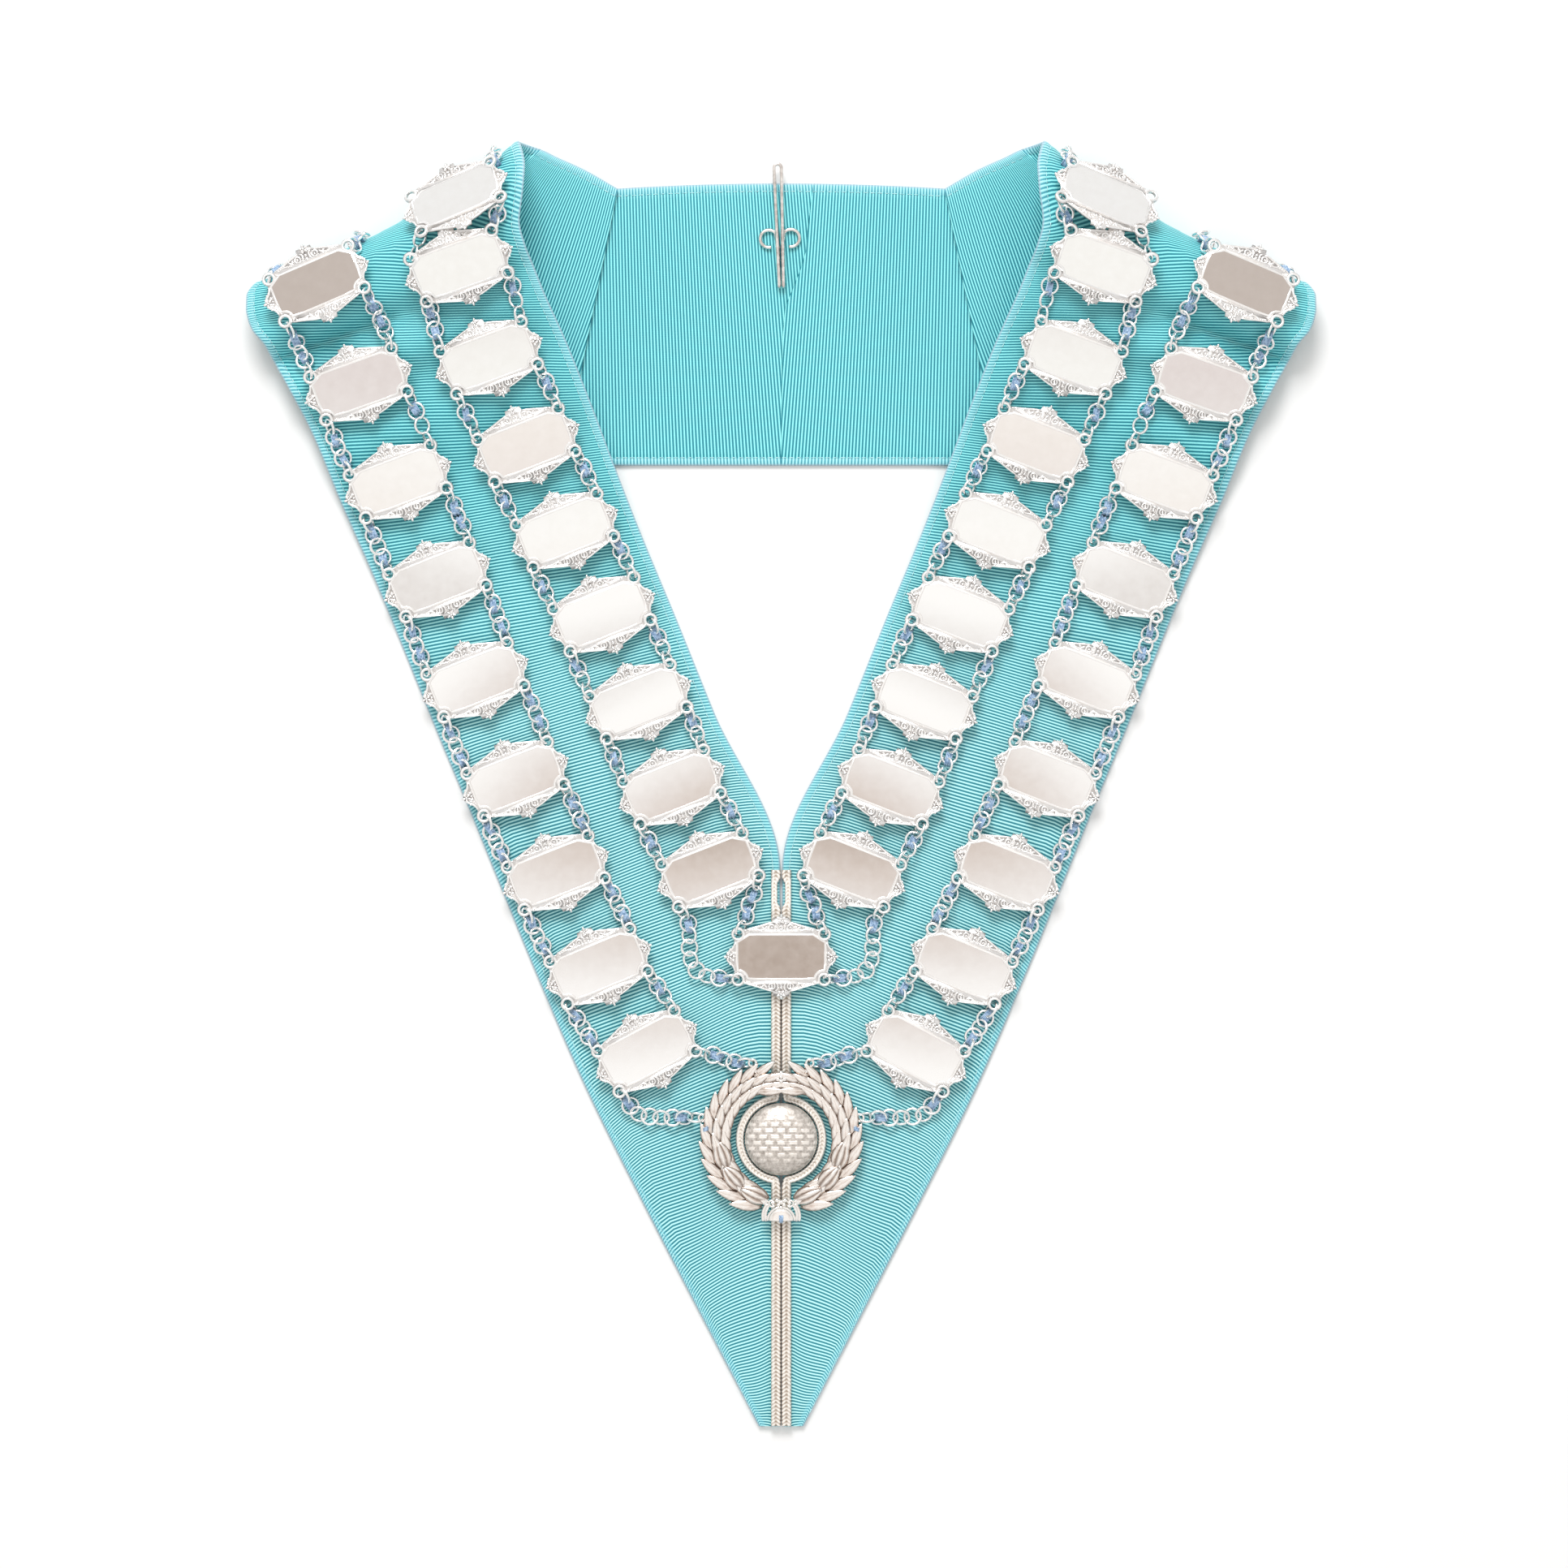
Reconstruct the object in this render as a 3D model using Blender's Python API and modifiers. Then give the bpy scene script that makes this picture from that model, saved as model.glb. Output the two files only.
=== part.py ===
"""Ribbon chain collar, lying face up on a table with its neck end away from the viewer.

Two ribbon fronts come down from a back panel, roll over at the shoulders and meet in a
point. Two rows of linked plates lie on each front. A last plate bridges the notch, and a
laurel wreath frames a covered button below it. X runs across the collar, Y runs from the
point to the neck, and Z is up from the table.
"""
import math

import bmesh
import bpy
import numpy as np
from mathutils import Matrix, Vector

MM = 0.001

# the whole collar
COLLAR_LENGTH = 487.0 * MM
COLLAR_SPAN = 405.6 * MM
ROLL_HEIGHT = 30.0 * MM
CLOTH = 2.0 * MM
GAP = 0.3 * MM

# back panel
PANEL_DEPTH = 104.7 * MM
PANEL_CROWN = 2.2 * MM
SEAM_LAP = 4.0 * MM
STACK_MARGIN = 10.0 * MM
STACK_RAMP = 25.0 * MM

# plates, with a lug and a hole at each corner
HOLES_ACROSS = 32.6 * MM
HOLES_UP = 17.2 * MM
CROWN_RISE = 6.2 * MM
CROWN_SHOULDER = (0.20, 0.73)
SIDE_RISE = 5.1 * MM
SIDE_WAIST = (0.42, 0.34)
LUG_RADIUS = 2.8 * MM
HOLE_RADIUS = 1.5 * MM
PLATE_THICKNESS = 1.6 * MM

# chains beside the plates, whose steps are in chain widths
CHAIN_WIDTH = 3.0 * MM
CHAIN_GAP = 0.8 * MM
CHAIN_STEP = 3.6
CHAIN_STEP_ON_ROLL = 1.4
CHAIN_OVER_ROLL = 5.0 * MM

# wreath and its branches, whose leaf places are angles from the right-hand side
WREATH_RADIUS = 29.6 * MM
WREATH_HOLLOW = 19.6 * MM
WREATH_THICKNESS = 2.4 * MM
WREATH_LEAVES = 8
BRANCH_START = -72.0
BRANCH_END = 88.0
LEAF_TIP = 0.82
LEAF_NOTCH = 2.6 * MM
WREATH_TAPER = 0.10
EYELET_RADIUS = 1.9 * MM
EYELET_HOLE = 0.95 * MM
EYELET_ANGLES = (69.5, 15.5)
EYELET_REACH = 1.045
EYELET_NECK = 2.2
BOW_WIDTH = 15.0 * MM
BOW_WAIST = 0.6
BOW_DROP = 1.0 * MM

# covered button, and the braids whose distances from it are in braid widths
BUTTON_RADIUS = 13.8 * MM
BUTTON_HEIGHT = 7.5 * MM
BUTTON_BASE = 2.0 * MM
BRAID_WIDTH = 3.7 * MM
BRAID_THICKNESS = 2.0 * MM
BRAID_FLAT = 0.7
RING_BRAID_SHARE = 0.84
RING_OPENING = 0.1
BRAIDS_PART = 2.0
BRAIDS_MEET = 1.2

# wire hook sewn to the back panel, whose loop stands past the panel's upper edge
HOOK_LENGTH = 47.9 * MM
HOOK_WIRE = 1.4 * MM
HOOK_TOP_SPREAD = 2.8 * MM
HOOK_TURN = 1.8
HOOK_ASIDE = 1.4 * MM
HOOK_PAST_EDGE = 10.0 * MM
CURL_RADIUS = 3.3 * MM
CURL_PLACE = 0.40
CURL_START = -75.0
CURL_SWEEP = 245.0

HALF_SPAN = (COLLAR_SPAN - CLOTH) / 2
Y_TIP = -COLLAR_LENGTH / 2
Y_REACH = COLLAR_LENGTH - CLOTH / 2
Z_REACH = ROLL_HEIGHT - CLOTH
PLATE_CLEAR = CHAIN_WIDTH + CHAIN_GAP + GAP
CLOTH_TOP = CLOTH
FITTING_BASE = CLOTH_TOP + PLATE_CLEAR

# One row for each line across a front, from the pleat seam, over the shoulder, to the point.
# out and in are the ribbon's outer and inner edge. x is a share of half the span, y of the
# length from the point, z of the roll's height. bow is a share of half the span by which the
# line's middle stands out towards the shoulder. cuts is how many strips follow the row.
FRONT_COLUMNS = ("row", "out_x", "out_y", "out_z", "in_x", "in_y", "in_z", "bow", "cuts")
FRONT_ROWS = (
    ("seam", 0.411, 0.755, 0.00, 0.307, 0.965, 0.00, 0.000, 2),
    ("gusset_low", 0.614, 0.792, 0.00, 0.370, 0.980, 0.00, 0.000, 2),
    ("gusset_high", 0.812, 0.828, 0.00, 0.422, 0.990, 0.00, 0.000, 2),
    ("heel", 0.965, 0.858, 0.004, 0.452, 0.996, 0.004, -0.010, 2),
    ("under", 0.989, 0.875, 0.09, 0.478, 0.999, 0.14, -0.026, 2),
    ("turn", 0.988, 0.889, 0.25, 0.490, 1.000, 0.40, -0.030, 2),
    ("brow", 1.000, 0.880, 0.39, 0.483, 0.992, 0.70, -0.022, 2),
    ("high_brow", 1.000, 0.870, 0.46, 0.477, 0.978, 0.93, -0.012, 2),
    ("crest", 0.996, 0.861, 0.49, 0.479, 0.961, 1.00, 0.000, 2),
    ("past_crest", 0.988, 0.853, 0.47, 0.486, 0.936, 0.97, 0.000, 2),
    ("swell", 0.966, 0.842, 0.44, 0.477, 0.919, 0.91, 0.000, 2),
    ("crease", 0.953, 0.831, 0.30, 0.461, 0.902, 0.76, 0.000, 2),
    ("below", 0.925, 0.811, 0.31, 0.445, 0.885, 0.69, 0.000, 3),
    ("slope", 0.876, 0.771, 0.20, 0.403, 0.846, 0.50, 0.000, 3),
    ("low_slope", 0.826, 0.720, 0.11, 0.356, 0.797, 0.32, 0.000, 3),
    ("foot", 0.772, 0.669, 0.04, 0.309, 0.745, 0.17, 0.000, 3),
    ("landing", 0.722, 0.619, 0.01, 0.262, 0.695, 0.06, 0.000, 2),
    ("flat", 0.661, 0.556, 0.00, 0.199, 0.632, 0.00, 0.000, 2),
    ("chest", 0.583, 0.478, 0.00, 0.126, 0.557, 0.00, 0.000, 3),
    ("notch", 0.460, 0.353, 0.00, 0.002, 0.434, 0.00, 0.000, 2),
    ("upper_point", 0.367, 0.264, 0.00, 0.002, 0.334, 0.00, 0.000, 2),
    ("mid_point", 0.246, 0.163, 0.00, 0.002, 0.214, 0.00, 0.000, 2),
    ("low_point", 0.120, 0.062, 0.00, 0.002, 0.100, 0.00, 0.000, 2),
    ("tip", 0.042, 0.000, 0.00, 0.002, 0.000, 0.00, 0.000, 0),
)
STRIP_COUNT = 4

# Middle of each plate, from the shoulder down. x and y are shares as above, and turn is the
# angle in degrees by which the plate's long axis rises towards the neck.
PLATE_COLUMNS = ("x", "y", "turn")
OUTER_PLATES = (
    (0.865, 0.888, 21.5),
    (0.789, 0.811, 20.0),
    (0.717, 0.736, 20.5),
    (0.644, 0.660, 21.5),
    (0.573, 0.582, 21.5),
    (0.498, 0.505, 21.5),
    (0.422, 0.432, 21.5),
    (0.342, 0.359, 22.5),
    (0.252, 0.293, 28.0),
)
INNER_PLATES = (
    (0.606, 0.955, 17.5),
    (0.5985, 0.9005, 21.0),
    (0.545, 0.831, 21.0),
    (0.4765, 0.764, 21.5),
    (0.405, 0.698, 21.5),
    (0.336, 0.633, 21.5),
    (0.268, 0.565, 21.5),
    (0.205, 0.4985, 21.5),
    (0.133, 0.434, 21.5),
)
CENTRE_PLATE_Y = 0.3665
WREATH_Y = 0.2242

# Shares of the holes' spacing at which a plate's footprint feels the cloth below it.
FOOTPRINT = (
    [(side, level) for side in (-1.0, -0.5, 0.0, 0.5, 1.0) for level in (-1.0, 0.0, 1.0)]
    + [(side, level) for side in (-1.15, 1.15) for level in (-1.25, 1.25)]
    + [(1.3, 0.0), (-1.3, 0.0), (0.0, 1.7), (0.0, -1.7)]
)

# Bends of the chains between a row's last plate and the hole where each one ends, as shares
# of half the span and of the length.
INNER_ROW_INNER_RUN = ((0.048, 0.418), (0.060, 0.410), (0.066, 0.398))
INNER_ROW_OUTER_RUN = ((0.174, 0.392), (0.171, 0.366), (0.150, 0.353), (0.120, 0.350))
OUTER_ROW_INNER_RUN = ((0.120, 0.289), (0.088, 0.284))
OUTER_ROW_OUTER_RUN = ((0.262, 0.243), (0.215, 0.241))


def clear_scene():
    for item in list(bpy.data.objects):
        bpy.data.objects.remove(item, do_unlink=True)


def make_collection(name):
    collection = bpy.data.collections.new(name)
    bpy.context.scene.collection.children.link(collection)
    return collection


def make_material(name, color, metallic, roughness):
    material = bpy.data.materials.new(name)
    material.use_nodes = True
    shader = material.node_tree.nodes["Principled BSDF"]
    shader.inputs["Base Color"].default_value = (*color, 1.0)
    shader.inputs["Metallic"].default_value = metallic
    shader.inputs["Roughness"].default_value = roughness
    return material


def add_object(name, data, material, collection):
    item = bpy.data.objects.new(name, data)
    collection.objects.link(item)
    if material.name not in data.materials:
        data.materials.append(material)
    return item


def curve_as_mesh(curve, name):
    """Make a welded mesh from a curve, whose caps are loose until then."""
    holder = bpy.data.objects.new(name, curve)
    bpy.context.scene.collection.objects.link(holder)
    bpy.context.view_layer.update()
    evaluated = holder.evaluated_get(bpy.context.evaluated_depsgraph_get())
    mesh = bpy.data.meshes.new_from_object(evaluated)
    bpy.data.objects.remove(holder, do_unlink=True)
    body = bmesh.new()
    body.from_mesh(mesh)
    bmesh.ops.remove_doubles(body, verts=body.verts, dist=0.00001)
    bmesh.ops.recalc_face_normals(body, faces=body.faces)
    body.to_mesh(mesh)
    body.free()
    return mesh


def add_loop(curve, points):
    spline = curve.splines.new("POLY")
    spline.points.add(len(points) - 1)
    for target, point in zip(spline.points, points):
        target.co = (point[0], point[1], 0.0, 1.0)
    spline.use_cyclic_u = True


def flat_solid(name, loops, thickness):
    """Extrude an outline with its holes, centred on z = 0."""
    curve = bpy.data.curves.new(name, "CURVE")
    curve.dimensions = "2D"
    curve.fill_mode = "BOTH"
    curve.extrude = thickness / 2
    for loop in loops:
        add_loop(curve, loop)
    return curve_as_mesh(curve, name)


def circle_points(centre, radius, count, start=0.0):
    step = 360.0 / count
    angles = [math.radians(start + step * index) for index in range(count)]
    return [(centre[0] + radius * math.cos(a), centre[1] + radius * math.sin(a)) for a in angles]


def height_up(share):
    """Turn a share of the length into a place along Y, from the point to the neck."""
    return Y_TIP + share * Y_REACH


def place(share_x, share_y):
    """Turn shares into a place on the left half, in metres."""
    return -share_x * HALF_SPAN, height_up(share_y)


class Spline:
    """Smooth curve through rows of values that never overshoots them."""

    def __init__(self, knots, values):
        self.knots = knots
        self.values = values
        step = np.diff(knots)[:, None]
        rise = np.diff(values, axis=0) / step
        same_way = rise[:-1] * rise[1:] > 0
        before = np.where(same_way, rise[:-1], 1.0)
        after = np.where(same_way, rise[1:], 1.0)
        weight_before = 2 * step[1:] + step[:-1]
        weight_after = step[1:] + 2 * step[:-1]
        mean = (weight_before + weight_after) / (weight_before / before + weight_after / after)
        self.slopes = np.vstack([rise[:1], np.where(same_way, mean, 0.0), rise[-1:]])

    def at(self, places):
        places = np.clip(places, self.knots[0], self.knots[-1])
        row = np.clip(np.searchsorted(self.knots, places, side="right") - 1, 0, len(self.knots) - 2)
        step = (self.knots[row + 1] - self.knots[row])[:, None]
        t = ((places - self.knots[row])[:, None]) / step
        start = self.values[row] * (2 * t**3 - 3 * t**2 + 1)
        end = self.values[row + 1] * (3 * t**2 - 2 * t**3)
        start_slope = self.slopes[row] * (t**3 - 2 * t**2 + t) * step
        end_slope = self.slopes[row + 1] * (t**3 - t**2) * step
        return start + end + start_slope + end_slope


def outside(points, corners):
    """Distance in plan by which each point lies outside a convex outline, negative within."""
    worst = np.full(points.shape[:-1], -1.0)
    middle = np.mean(corners, axis=0)
    for start, end in zip(corners, np.roll(corners, -1, axis=0)):
        along = (end - start) / np.linalg.norm(end - start)
        normal = np.array((along[1], -along[0]))
        if np.dot(middle - start, normal) > 0:
            normal = -normal
        worst = np.maximum(worst, (points[..., :2] - start) @ normal)
    return worst


def covered(points, corners):
    """1 above a layer and a margin round it, falling to 0 further out."""
    past = outside(points, corners) - STACK_MARGIN
    return np.clip(1.0 - past / STACK_RAMP, 0.0, 1.0)


class Front:
    """The left ribbon front as a surface, by distance from the seam and share across."""

    def __init__(self):
        table = [dict(zip(FRONT_COLUMNS, row)) for row in FRONT_ROWS]
        self.names = [row["row"] for row in table]
        outer = np.array([self.edge_point(row, "out") for row in table])
        inner = np.array([self.edge_point(row, "in") for row in table])
        seam_x, seam_y = inner[0][:2]
        outer[0][1] = seam_y - PANEL_DEPTH
        bow = np.array([[row["bow"] * HALF_SPAN] for row in table])
        middle = (outer + inner) / 2
        steps = np.linalg.norm(np.diff(middle, axis=0), axis=1)
        self.knots = np.concatenate([[0.0], np.cumsum(steps)])
        self.spline = Spline(self.knots, np.hstack([outer, inner, bow]))
        self.cuts = [row["cuts"] for row in table]
        self.turn = self.knots[self.names.index("turn")]
        self.heel = self.knots[self.names.index("heel")]
        self.crease = self.knots[self.names.index("crease")]
        self.notch_y = inner[self.names.index("notch")][1]
        foot = outer[0][:2]
        self.panel = np.array([
            (seam_x - SEAM_LAP, seam_y),
            (foot[0] - SEAM_LAP, foot[1]),
            (0.0, foot[1]),
            (0.0, seam_y),
        ])
        heel_row = self.names.index("heel")
        self.gusset = np.array([inner[0][:2], foot, outer[heel_row][:2], inner[heel_row][:2]])
        self.scan_places = np.linspace(self.turn, self.knots[-1], 500)
        self.scan_shares = np.linspace(0.0, 1.0, 51)
        self.scan = self.points(self.scan_places, self.scan_shares)

    @staticmethod
    def edge_point(row, edge):
        x, y = place(row[edge + "_x"], row[edge + "_y"])
        return x, y, CLOTH / 2 + row[edge + "_z"] * Z_REACH

    def points(self, places, shares):
        """Middle of the cloth for every place along and share across."""
        places = np.asarray(places, dtype=float)
        rows = self.spline.at(places)
        outer = rows[:, None, 0:3]
        inner = rows[:, None, 3:6]
        share = np.asarray(shares, dtype=float)[None, :, None]
        line = inner - outer
        sideways = np.concatenate([-line[..., 1:2], line[..., 0:1], 0 * line[..., 0:1]], axis=-1)
        sideways = sideways / np.linalg.norm(sideways, axis=-1, keepdims=True)
        found = outer + line * share + sideways * rows[:, None, 6:7] * 4 * share * (1 - share)
        return self.lifted(found, places)

    def lifted(self, found, places):
        """Raise the cloth where it lies on the layers below it."""
        layer = CLOTH + GAP
        on_panel = covered(found, self.panel)
        on_gusset = covered(found, self.gusset)
        is_leg = (places > self.turn)[:, None]
        is_gusset = (places < self.heel)[:, None]
        base = np.where(is_leg, layer * (on_panel + on_gusset), np.where(is_gusset, layer * on_panel, 0.0))
        found[..., 2] = np.maximum(found[..., 2], CLOTH / 2 + base)
        return found

    def point(self, where, share):
        return Vector(self.points([where], [share])[0, 0])

    def frame(self, where, share):
        """Point, directions along and across, and outward normal at one place."""
        nudge = 0.0005
        along = (self.point(where + nudge, share) - self.point(where - nudge, share)) / (2 * nudge)
        across = (self.point(where, share + nudge) - self.point(where, share - nudge)) / (2 * nudge)
        normal = along.cross(across).normalized()
        return self.point(where, share), along, across, normal

    def shift(self, where, share, offset):
        """Place and share reached from one place by an offset in space."""
        _, along, across, _ = self.frame(where, share)
        matrix = np.array([along[:], across[:]]).T
        step, _, _, _ = np.linalg.lstsq(matrix, np.array(offset[:]), rcond=None)
        return where + step[0], share + step[1]

    def locate(self, x, y):
        """Place and share of the upper face seen from above at x and y."""
        reach = (self.scan[..., 0] - x) ** 2 + (self.scan[..., 1] - y) ** 2
        row, column = np.unravel_index(np.argmin(reach), reach.shape)
        where = self.scan_places[row]
        share = self.scan_shares[column]
        here, along, across, _ = self.frame(where, share)
        matrix = np.array([(along.x, across.x), (along.y, across.y)])
        upright = 0.01
        if abs(np.linalg.det(matrix)) < upright:
            return where, share
        step = np.linalg.solve(matrix, np.array((x - here.x, y - here.y)))
        reach = np.array((self.scan_places[1] - self.scan_places[0], self.scan_shares[1]))
        step = np.clip(step, -reach, reach)
        return where + step[0], share + step[1]


def grid_mesh(name, points, flipped):
    """Open surface through a grid of points."""
    rows, columns = points.shape[:2]
    body = bmesh.new()
    verts = [[body.verts.new(points[r, c]) for c in range(columns)] for r in range(rows)]
    for r in range(rows - 1):
        for c in range(columns - 1):
            corners = [verts[r][c], verts[r + 1][c], verts[r + 1][c + 1], verts[r][c + 1]]
            if flipped:
                corners.reverse()
            body.faces.new(corners)
    mesh = bpy.data.meshes.new(name)
    body.to_mesh(mesh)
    body.free()
    return mesh


def thicken(item, thickness):
    shell = item.modifiers.new("cloth", "SOLIDIFY")
    shell.thickness = thickness
    shell.offset = 0.0
    shell.use_even_offset = True


def make_fronts(front, cloth, collection):
    places = []
    for row, cuts in enumerate(front.cuts[:-1]):
        places.extend(np.linspace(front.knots[row], front.knots[row + 1], cuts, endpoint=False))
    places.append(front.knots[-1])
    shares = np.linspace(0.0, 1.0, STRIP_COUNT + 1)
    left = front.points(places, shares)
    right = left * np.array((-1.0, 1.0, 1.0))
    for name, points, flipped in (("left", left, False), ("right", right, True)):
        mesh = grid_mesh(f"ribbon_front_{name}", points, flipped)
        thicken(add_object(mesh.name, mesh, cloth, collection), CLOTH)


def make_back(front, cloth, collection):
    seam, foot = front.panel[0], front.panel[1]
    half = [(0.0, seam[1] + PANEL_CROWN), (-seam[0], seam[1]), (-foot[0], foot[1])]
    outline = half + [(-x, y) for x, y in reversed(half[1:])]
    mesh = flat_solid("ribbon_back", [outline], CLOTH)
    item = add_object("ribbon_back", mesh, cloth, collection)
    item.location.z = CLOTH / 2


def plate_quarter():
    """Outline of a plate's upper right quarter, from its side tip to its top tip."""
    hole_x = HOLES_ACROSS / 2
    hole_y = HOLES_UP / 2
    side = (hole_x + SIDE_WAIST[0] * SIDE_RISE, SIDE_WAIST[1] * hole_y)
    arc = [math.radians(angle) for angle in (-55.0, 10.0, 80.0, 150.0)]
    lug = [(hole_x + LUG_RADIUS * math.cos(a), hole_y + LUG_RADIUS * math.sin(a)) for a in arc]
    crown = (CROWN_SHOULDER[0] * hole_x, hole_y + CROWN_SHOULDER[1] * CROWN_RISE)
    return [side] + lug + [crown]


def plate_mesh():
    hole_x = HOLES_ACROSS / 2
    hole_y = HOLES_UP / 2
    quarter = plate_quarter()
    outline = [(hole_x + SIDE_RISE, 0.0)] + quarter
    outline += [(0.0, hole_y + CROWN_RISE)] + [(-x, y) for x, y in reversed(quarter)]
    outline += [(-x, -y) for x, y in outline]
    centres = [(sx * hole_x, sy * hole_y) for sx in (-1, 1) for sy in (-1, 1)]
    holes = [circle_points(centre, HOLE_RADIUS, 6) for centre in centres]
    return flat_solid("plate", [outline] + holes, PLATE_THICKNESS)


class Seat:
    """Where one plate lies on the left front, resting over the chains and the cloth."""

    def __init__(self, front, x, y, turn):
        self.front = front
        self.heading = Vector((math.cos(math.radians(turn)), math.sin(math.radians(turn)), 0.0))
        target = Vector((*place(x, y), 0.0))
        self.where, self.share = front.locate(target.x, target.y)
        for _ in range(5):
            self.settle()
            miss = target - self.middle
            matrix = np.array([(self.right.x, self.up.x), (self.right.y, self.up.y)])
            step = np.linalg.solve(matrix, np.array((miss.x, miss.y)))
            slide = self.right * step[0] + self.up * step[1]
            self.where, self.share = front.shift(self.where, self.share, slide)
        self.settle()

    def settle(self):
        """Lay the plate down over its place: find its axes and how high it stands."""
        base, _, _, normal = self.front.frame(self.where, self.share)
        self.set_axes(normal)
        rising = self.under(1.0, 1.0) - self.under(-1.0, -1.0)
        falling = self.under(1.0, -1.0) - self.under(-1.0, 1.0)
        self.set_axes(falling.cross(rising).normalized())
        height = max((self.under(*reach) - base).dot(self.normal) for reach in FOOTPRINT)
        rise = height + CLOTH / 2 + PLATE_CLEAR + PLATE_THICKNESS / 2
        self.middle = base + self.normal * rise

    def set_axes(self, normal):
        self.normal = normal
        self.right = (self.heading - self.heading.dot(normal) * normal).normalized()
        self.up = normal.cross(self.right)

    def under(self, side, level):
        """Point of the cloth under a place on the plate, in shares of its holes' spacing."""
        return self.front.point(*self.hole(side, level))

    def matrix(self):
        turned = Matrix((self.right, self.up, self.normal)).transposed().to_4x4()
        return Matrix.Translation(self.middle) @ turned

    def hole(self, side, level):
        """Place and share under the hole on one side, at the top or bottom."""
        reach = self.right * side * HOLES_ACROSS / 2 + self.up * level * HOLES_UP / 2
        return self.front.shift(self.where, self.share, reach)


def make_plates(seats, silver, collection):
    mesh = plate_mesh()
    mirror = Matrix.Diagonal((-1.0, 1.0, 1.0, 1.0))
    for row, row_seats in seats.items():
        for number, seat in enumerate(row_seats, start=1):
            left = add_object(f"plate_{row}_left_{number}", mesh, silver, collection)
            left.matrix_world = seat.matrix()
            right = add_object(f"plate_{row}_right_{number}", mesh, silver, collection)
            right.matrix_world = mirror @ seat.matrix() @ mirror
    centre = add_object("plate_centre", mesh, silver, collection)
    centre.location = (0.0, height_up(CENTRE_PLATE_Y), FITTING_BASE + PLATE_THICKNESS / 2)


def chain_route(front, row_seats, side, run, end):
    """Points of one chain, from behind the shoulder's roll to the hole where it ends."""
    stops = []
    for seat in row_seats:
        stops.append(seat.hole(side, 1))
        stops.append(seat.hole(side, -1))
    stops.insert(0, (front.turn - CHAIN_OVER_ROLL, stops[0][1]))
    stops.extend(front.locate(*place(*share)) for share in run)
    stops.append(front.locate(*end))
    stops = np.array(stops)
    dense = []
    for start, end in zip(stops[:-1], stops[1:]):
        shares = np.linspace(0.0, 1.0, 40, endpoint=False)[:, None]
        dense.extend(start + (end - start) * shares)
    dense.append(stops[-1])
    rise = CLOTH / 2 + CHAIN_GAP + CHAIN_WIDTH / 2
    route = []
    for where, share in dense:
        here, _, _, normal = front.frame(where, share)
        here = here + normal * rise
        step = CHAIN_WIDTH * (CHAIN_STEP_ON_ROLL if where < front.crease else CHAIN_STEP)
        if not route or (here - route[-1]).length >= step:
            route.append(here)
    if (here - route[-1]).length < step / 2:
        route.pop()
    return route + [here]


def tube(name, points, width, resolution, material, collection):
    curve = bpy.data.curves.new(name, "CURVE")
    curve.dimensions = "3D"
    curve.bevel_depth = width / 2
    curve.bevel_resolution = resolution
    curve.use_fill_caps = True
    spline = curve.splines.new("POLY")
    spline.points.add(len(points) - 1)
    for target, point in zip(spline.points, points):
        target.co = (point[0], point[1], point[2], 1.0)
    return add_object(name, curve, material, collection)


def make_chains(front, seats, silver, collection):
    plate_y = height_up(CENTRE_PLATE_Y)
    wreath_y = height_up(WREATH_Y)
    upper, lower = [eyelet_centre(angle) for angle in EYELET_ANGLES]
    runs = {
        ("outer", -1): (OUTER_ROW_OUTER_RUN, (-lower[0], wreath_y + lower[1])),
        ("outer", 1): (OUTER_ROW_INNER_RUN, (-upper[0], wreath_y + upper[1])),
        ("inner", -1): (INNER_ROW_OUTER_RUN, (-HOLES_ACROSS / 2, plate_y - HOLES_UP / 2)),
        ("inner", 1): (INNER_ROW_INNER_RUN, (-HOLES_ACROSS / 2, plate_y + HOLES_UP / 2)),
    }
    edges = {-1: "outer_edge", 1: "inner_edge"}
    for (row, side), (run, end) in runs.items():
        left = chain_route(front, seats[row], side, run, end)
        right = [Vector((-point.x, point.y, point.z)) for point in left]
        name = f"chain_{row}_row_{edges[side]}"
        tube(f"{name}_left", left, CHAIN_WIDTH, 2, silver, collection)
        tube(f"{name}_right", right, CHAIN_WIDTH, 2, silver, collection)


def leaf_edge(radius, depth, taper):
    """One side of a wreath branch, from the bow up, as angle and radius of each leaf tip."""
    step = (BRANCH_END - BRANCH_START) / WREATH_LEAVES
    edge = []
    for leaf in range(WREATH_LEAVES):
        root = BRANCH_START + leaf * step
        thin = 1.0 - taper * (leaf / WREATH_LEAVES) ** 2
        edge.append((root, (radius - depth) * thin))
        edge.append((root + LEAF_TIP * step, radius * thin))
    return edge


def polar(angle, radius):
    return radius * math.cos(math.radians(angle)), radius * math.sin(math.radians(angle))


def eyelet_centre(angle):
    return polar(angle, WREATH_RADIUS * EYELET_REACH)


def wreath_outline():
    """Right half of the wreath's outer edge, from the bow to the top, with its eyelets."""
    edge = leaf_edge(WREATH_RADIUS, LEAF_NOTCH, WREATH_TAPER)
    clear = math.degrees(EYELET_NECK * EYELET_RADIUS / WREATH_RADIUS)
    kept = [item for item in edge if all(abs(item[0] - a) > clear for a in EYELET_ANGLES)]
    for angle in EYELET_ANGLES:
        centre = eyelet_centre(angle)
        for turn in (-120.0, -60.0, 0.0, 60.0, 120.0):
            x = centre[0] + EYELET_RADIUS * math.cos(math.radians(angle + turn))
            y = centre[1] + EYELET_RADIUS * math.sin(math.radians(angle + turn))
            kept.append((math.degrees(math.atan2(y, x)), math.hypot(x, y)))
    return [polar(*item) for item in sorted(kept)]


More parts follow.
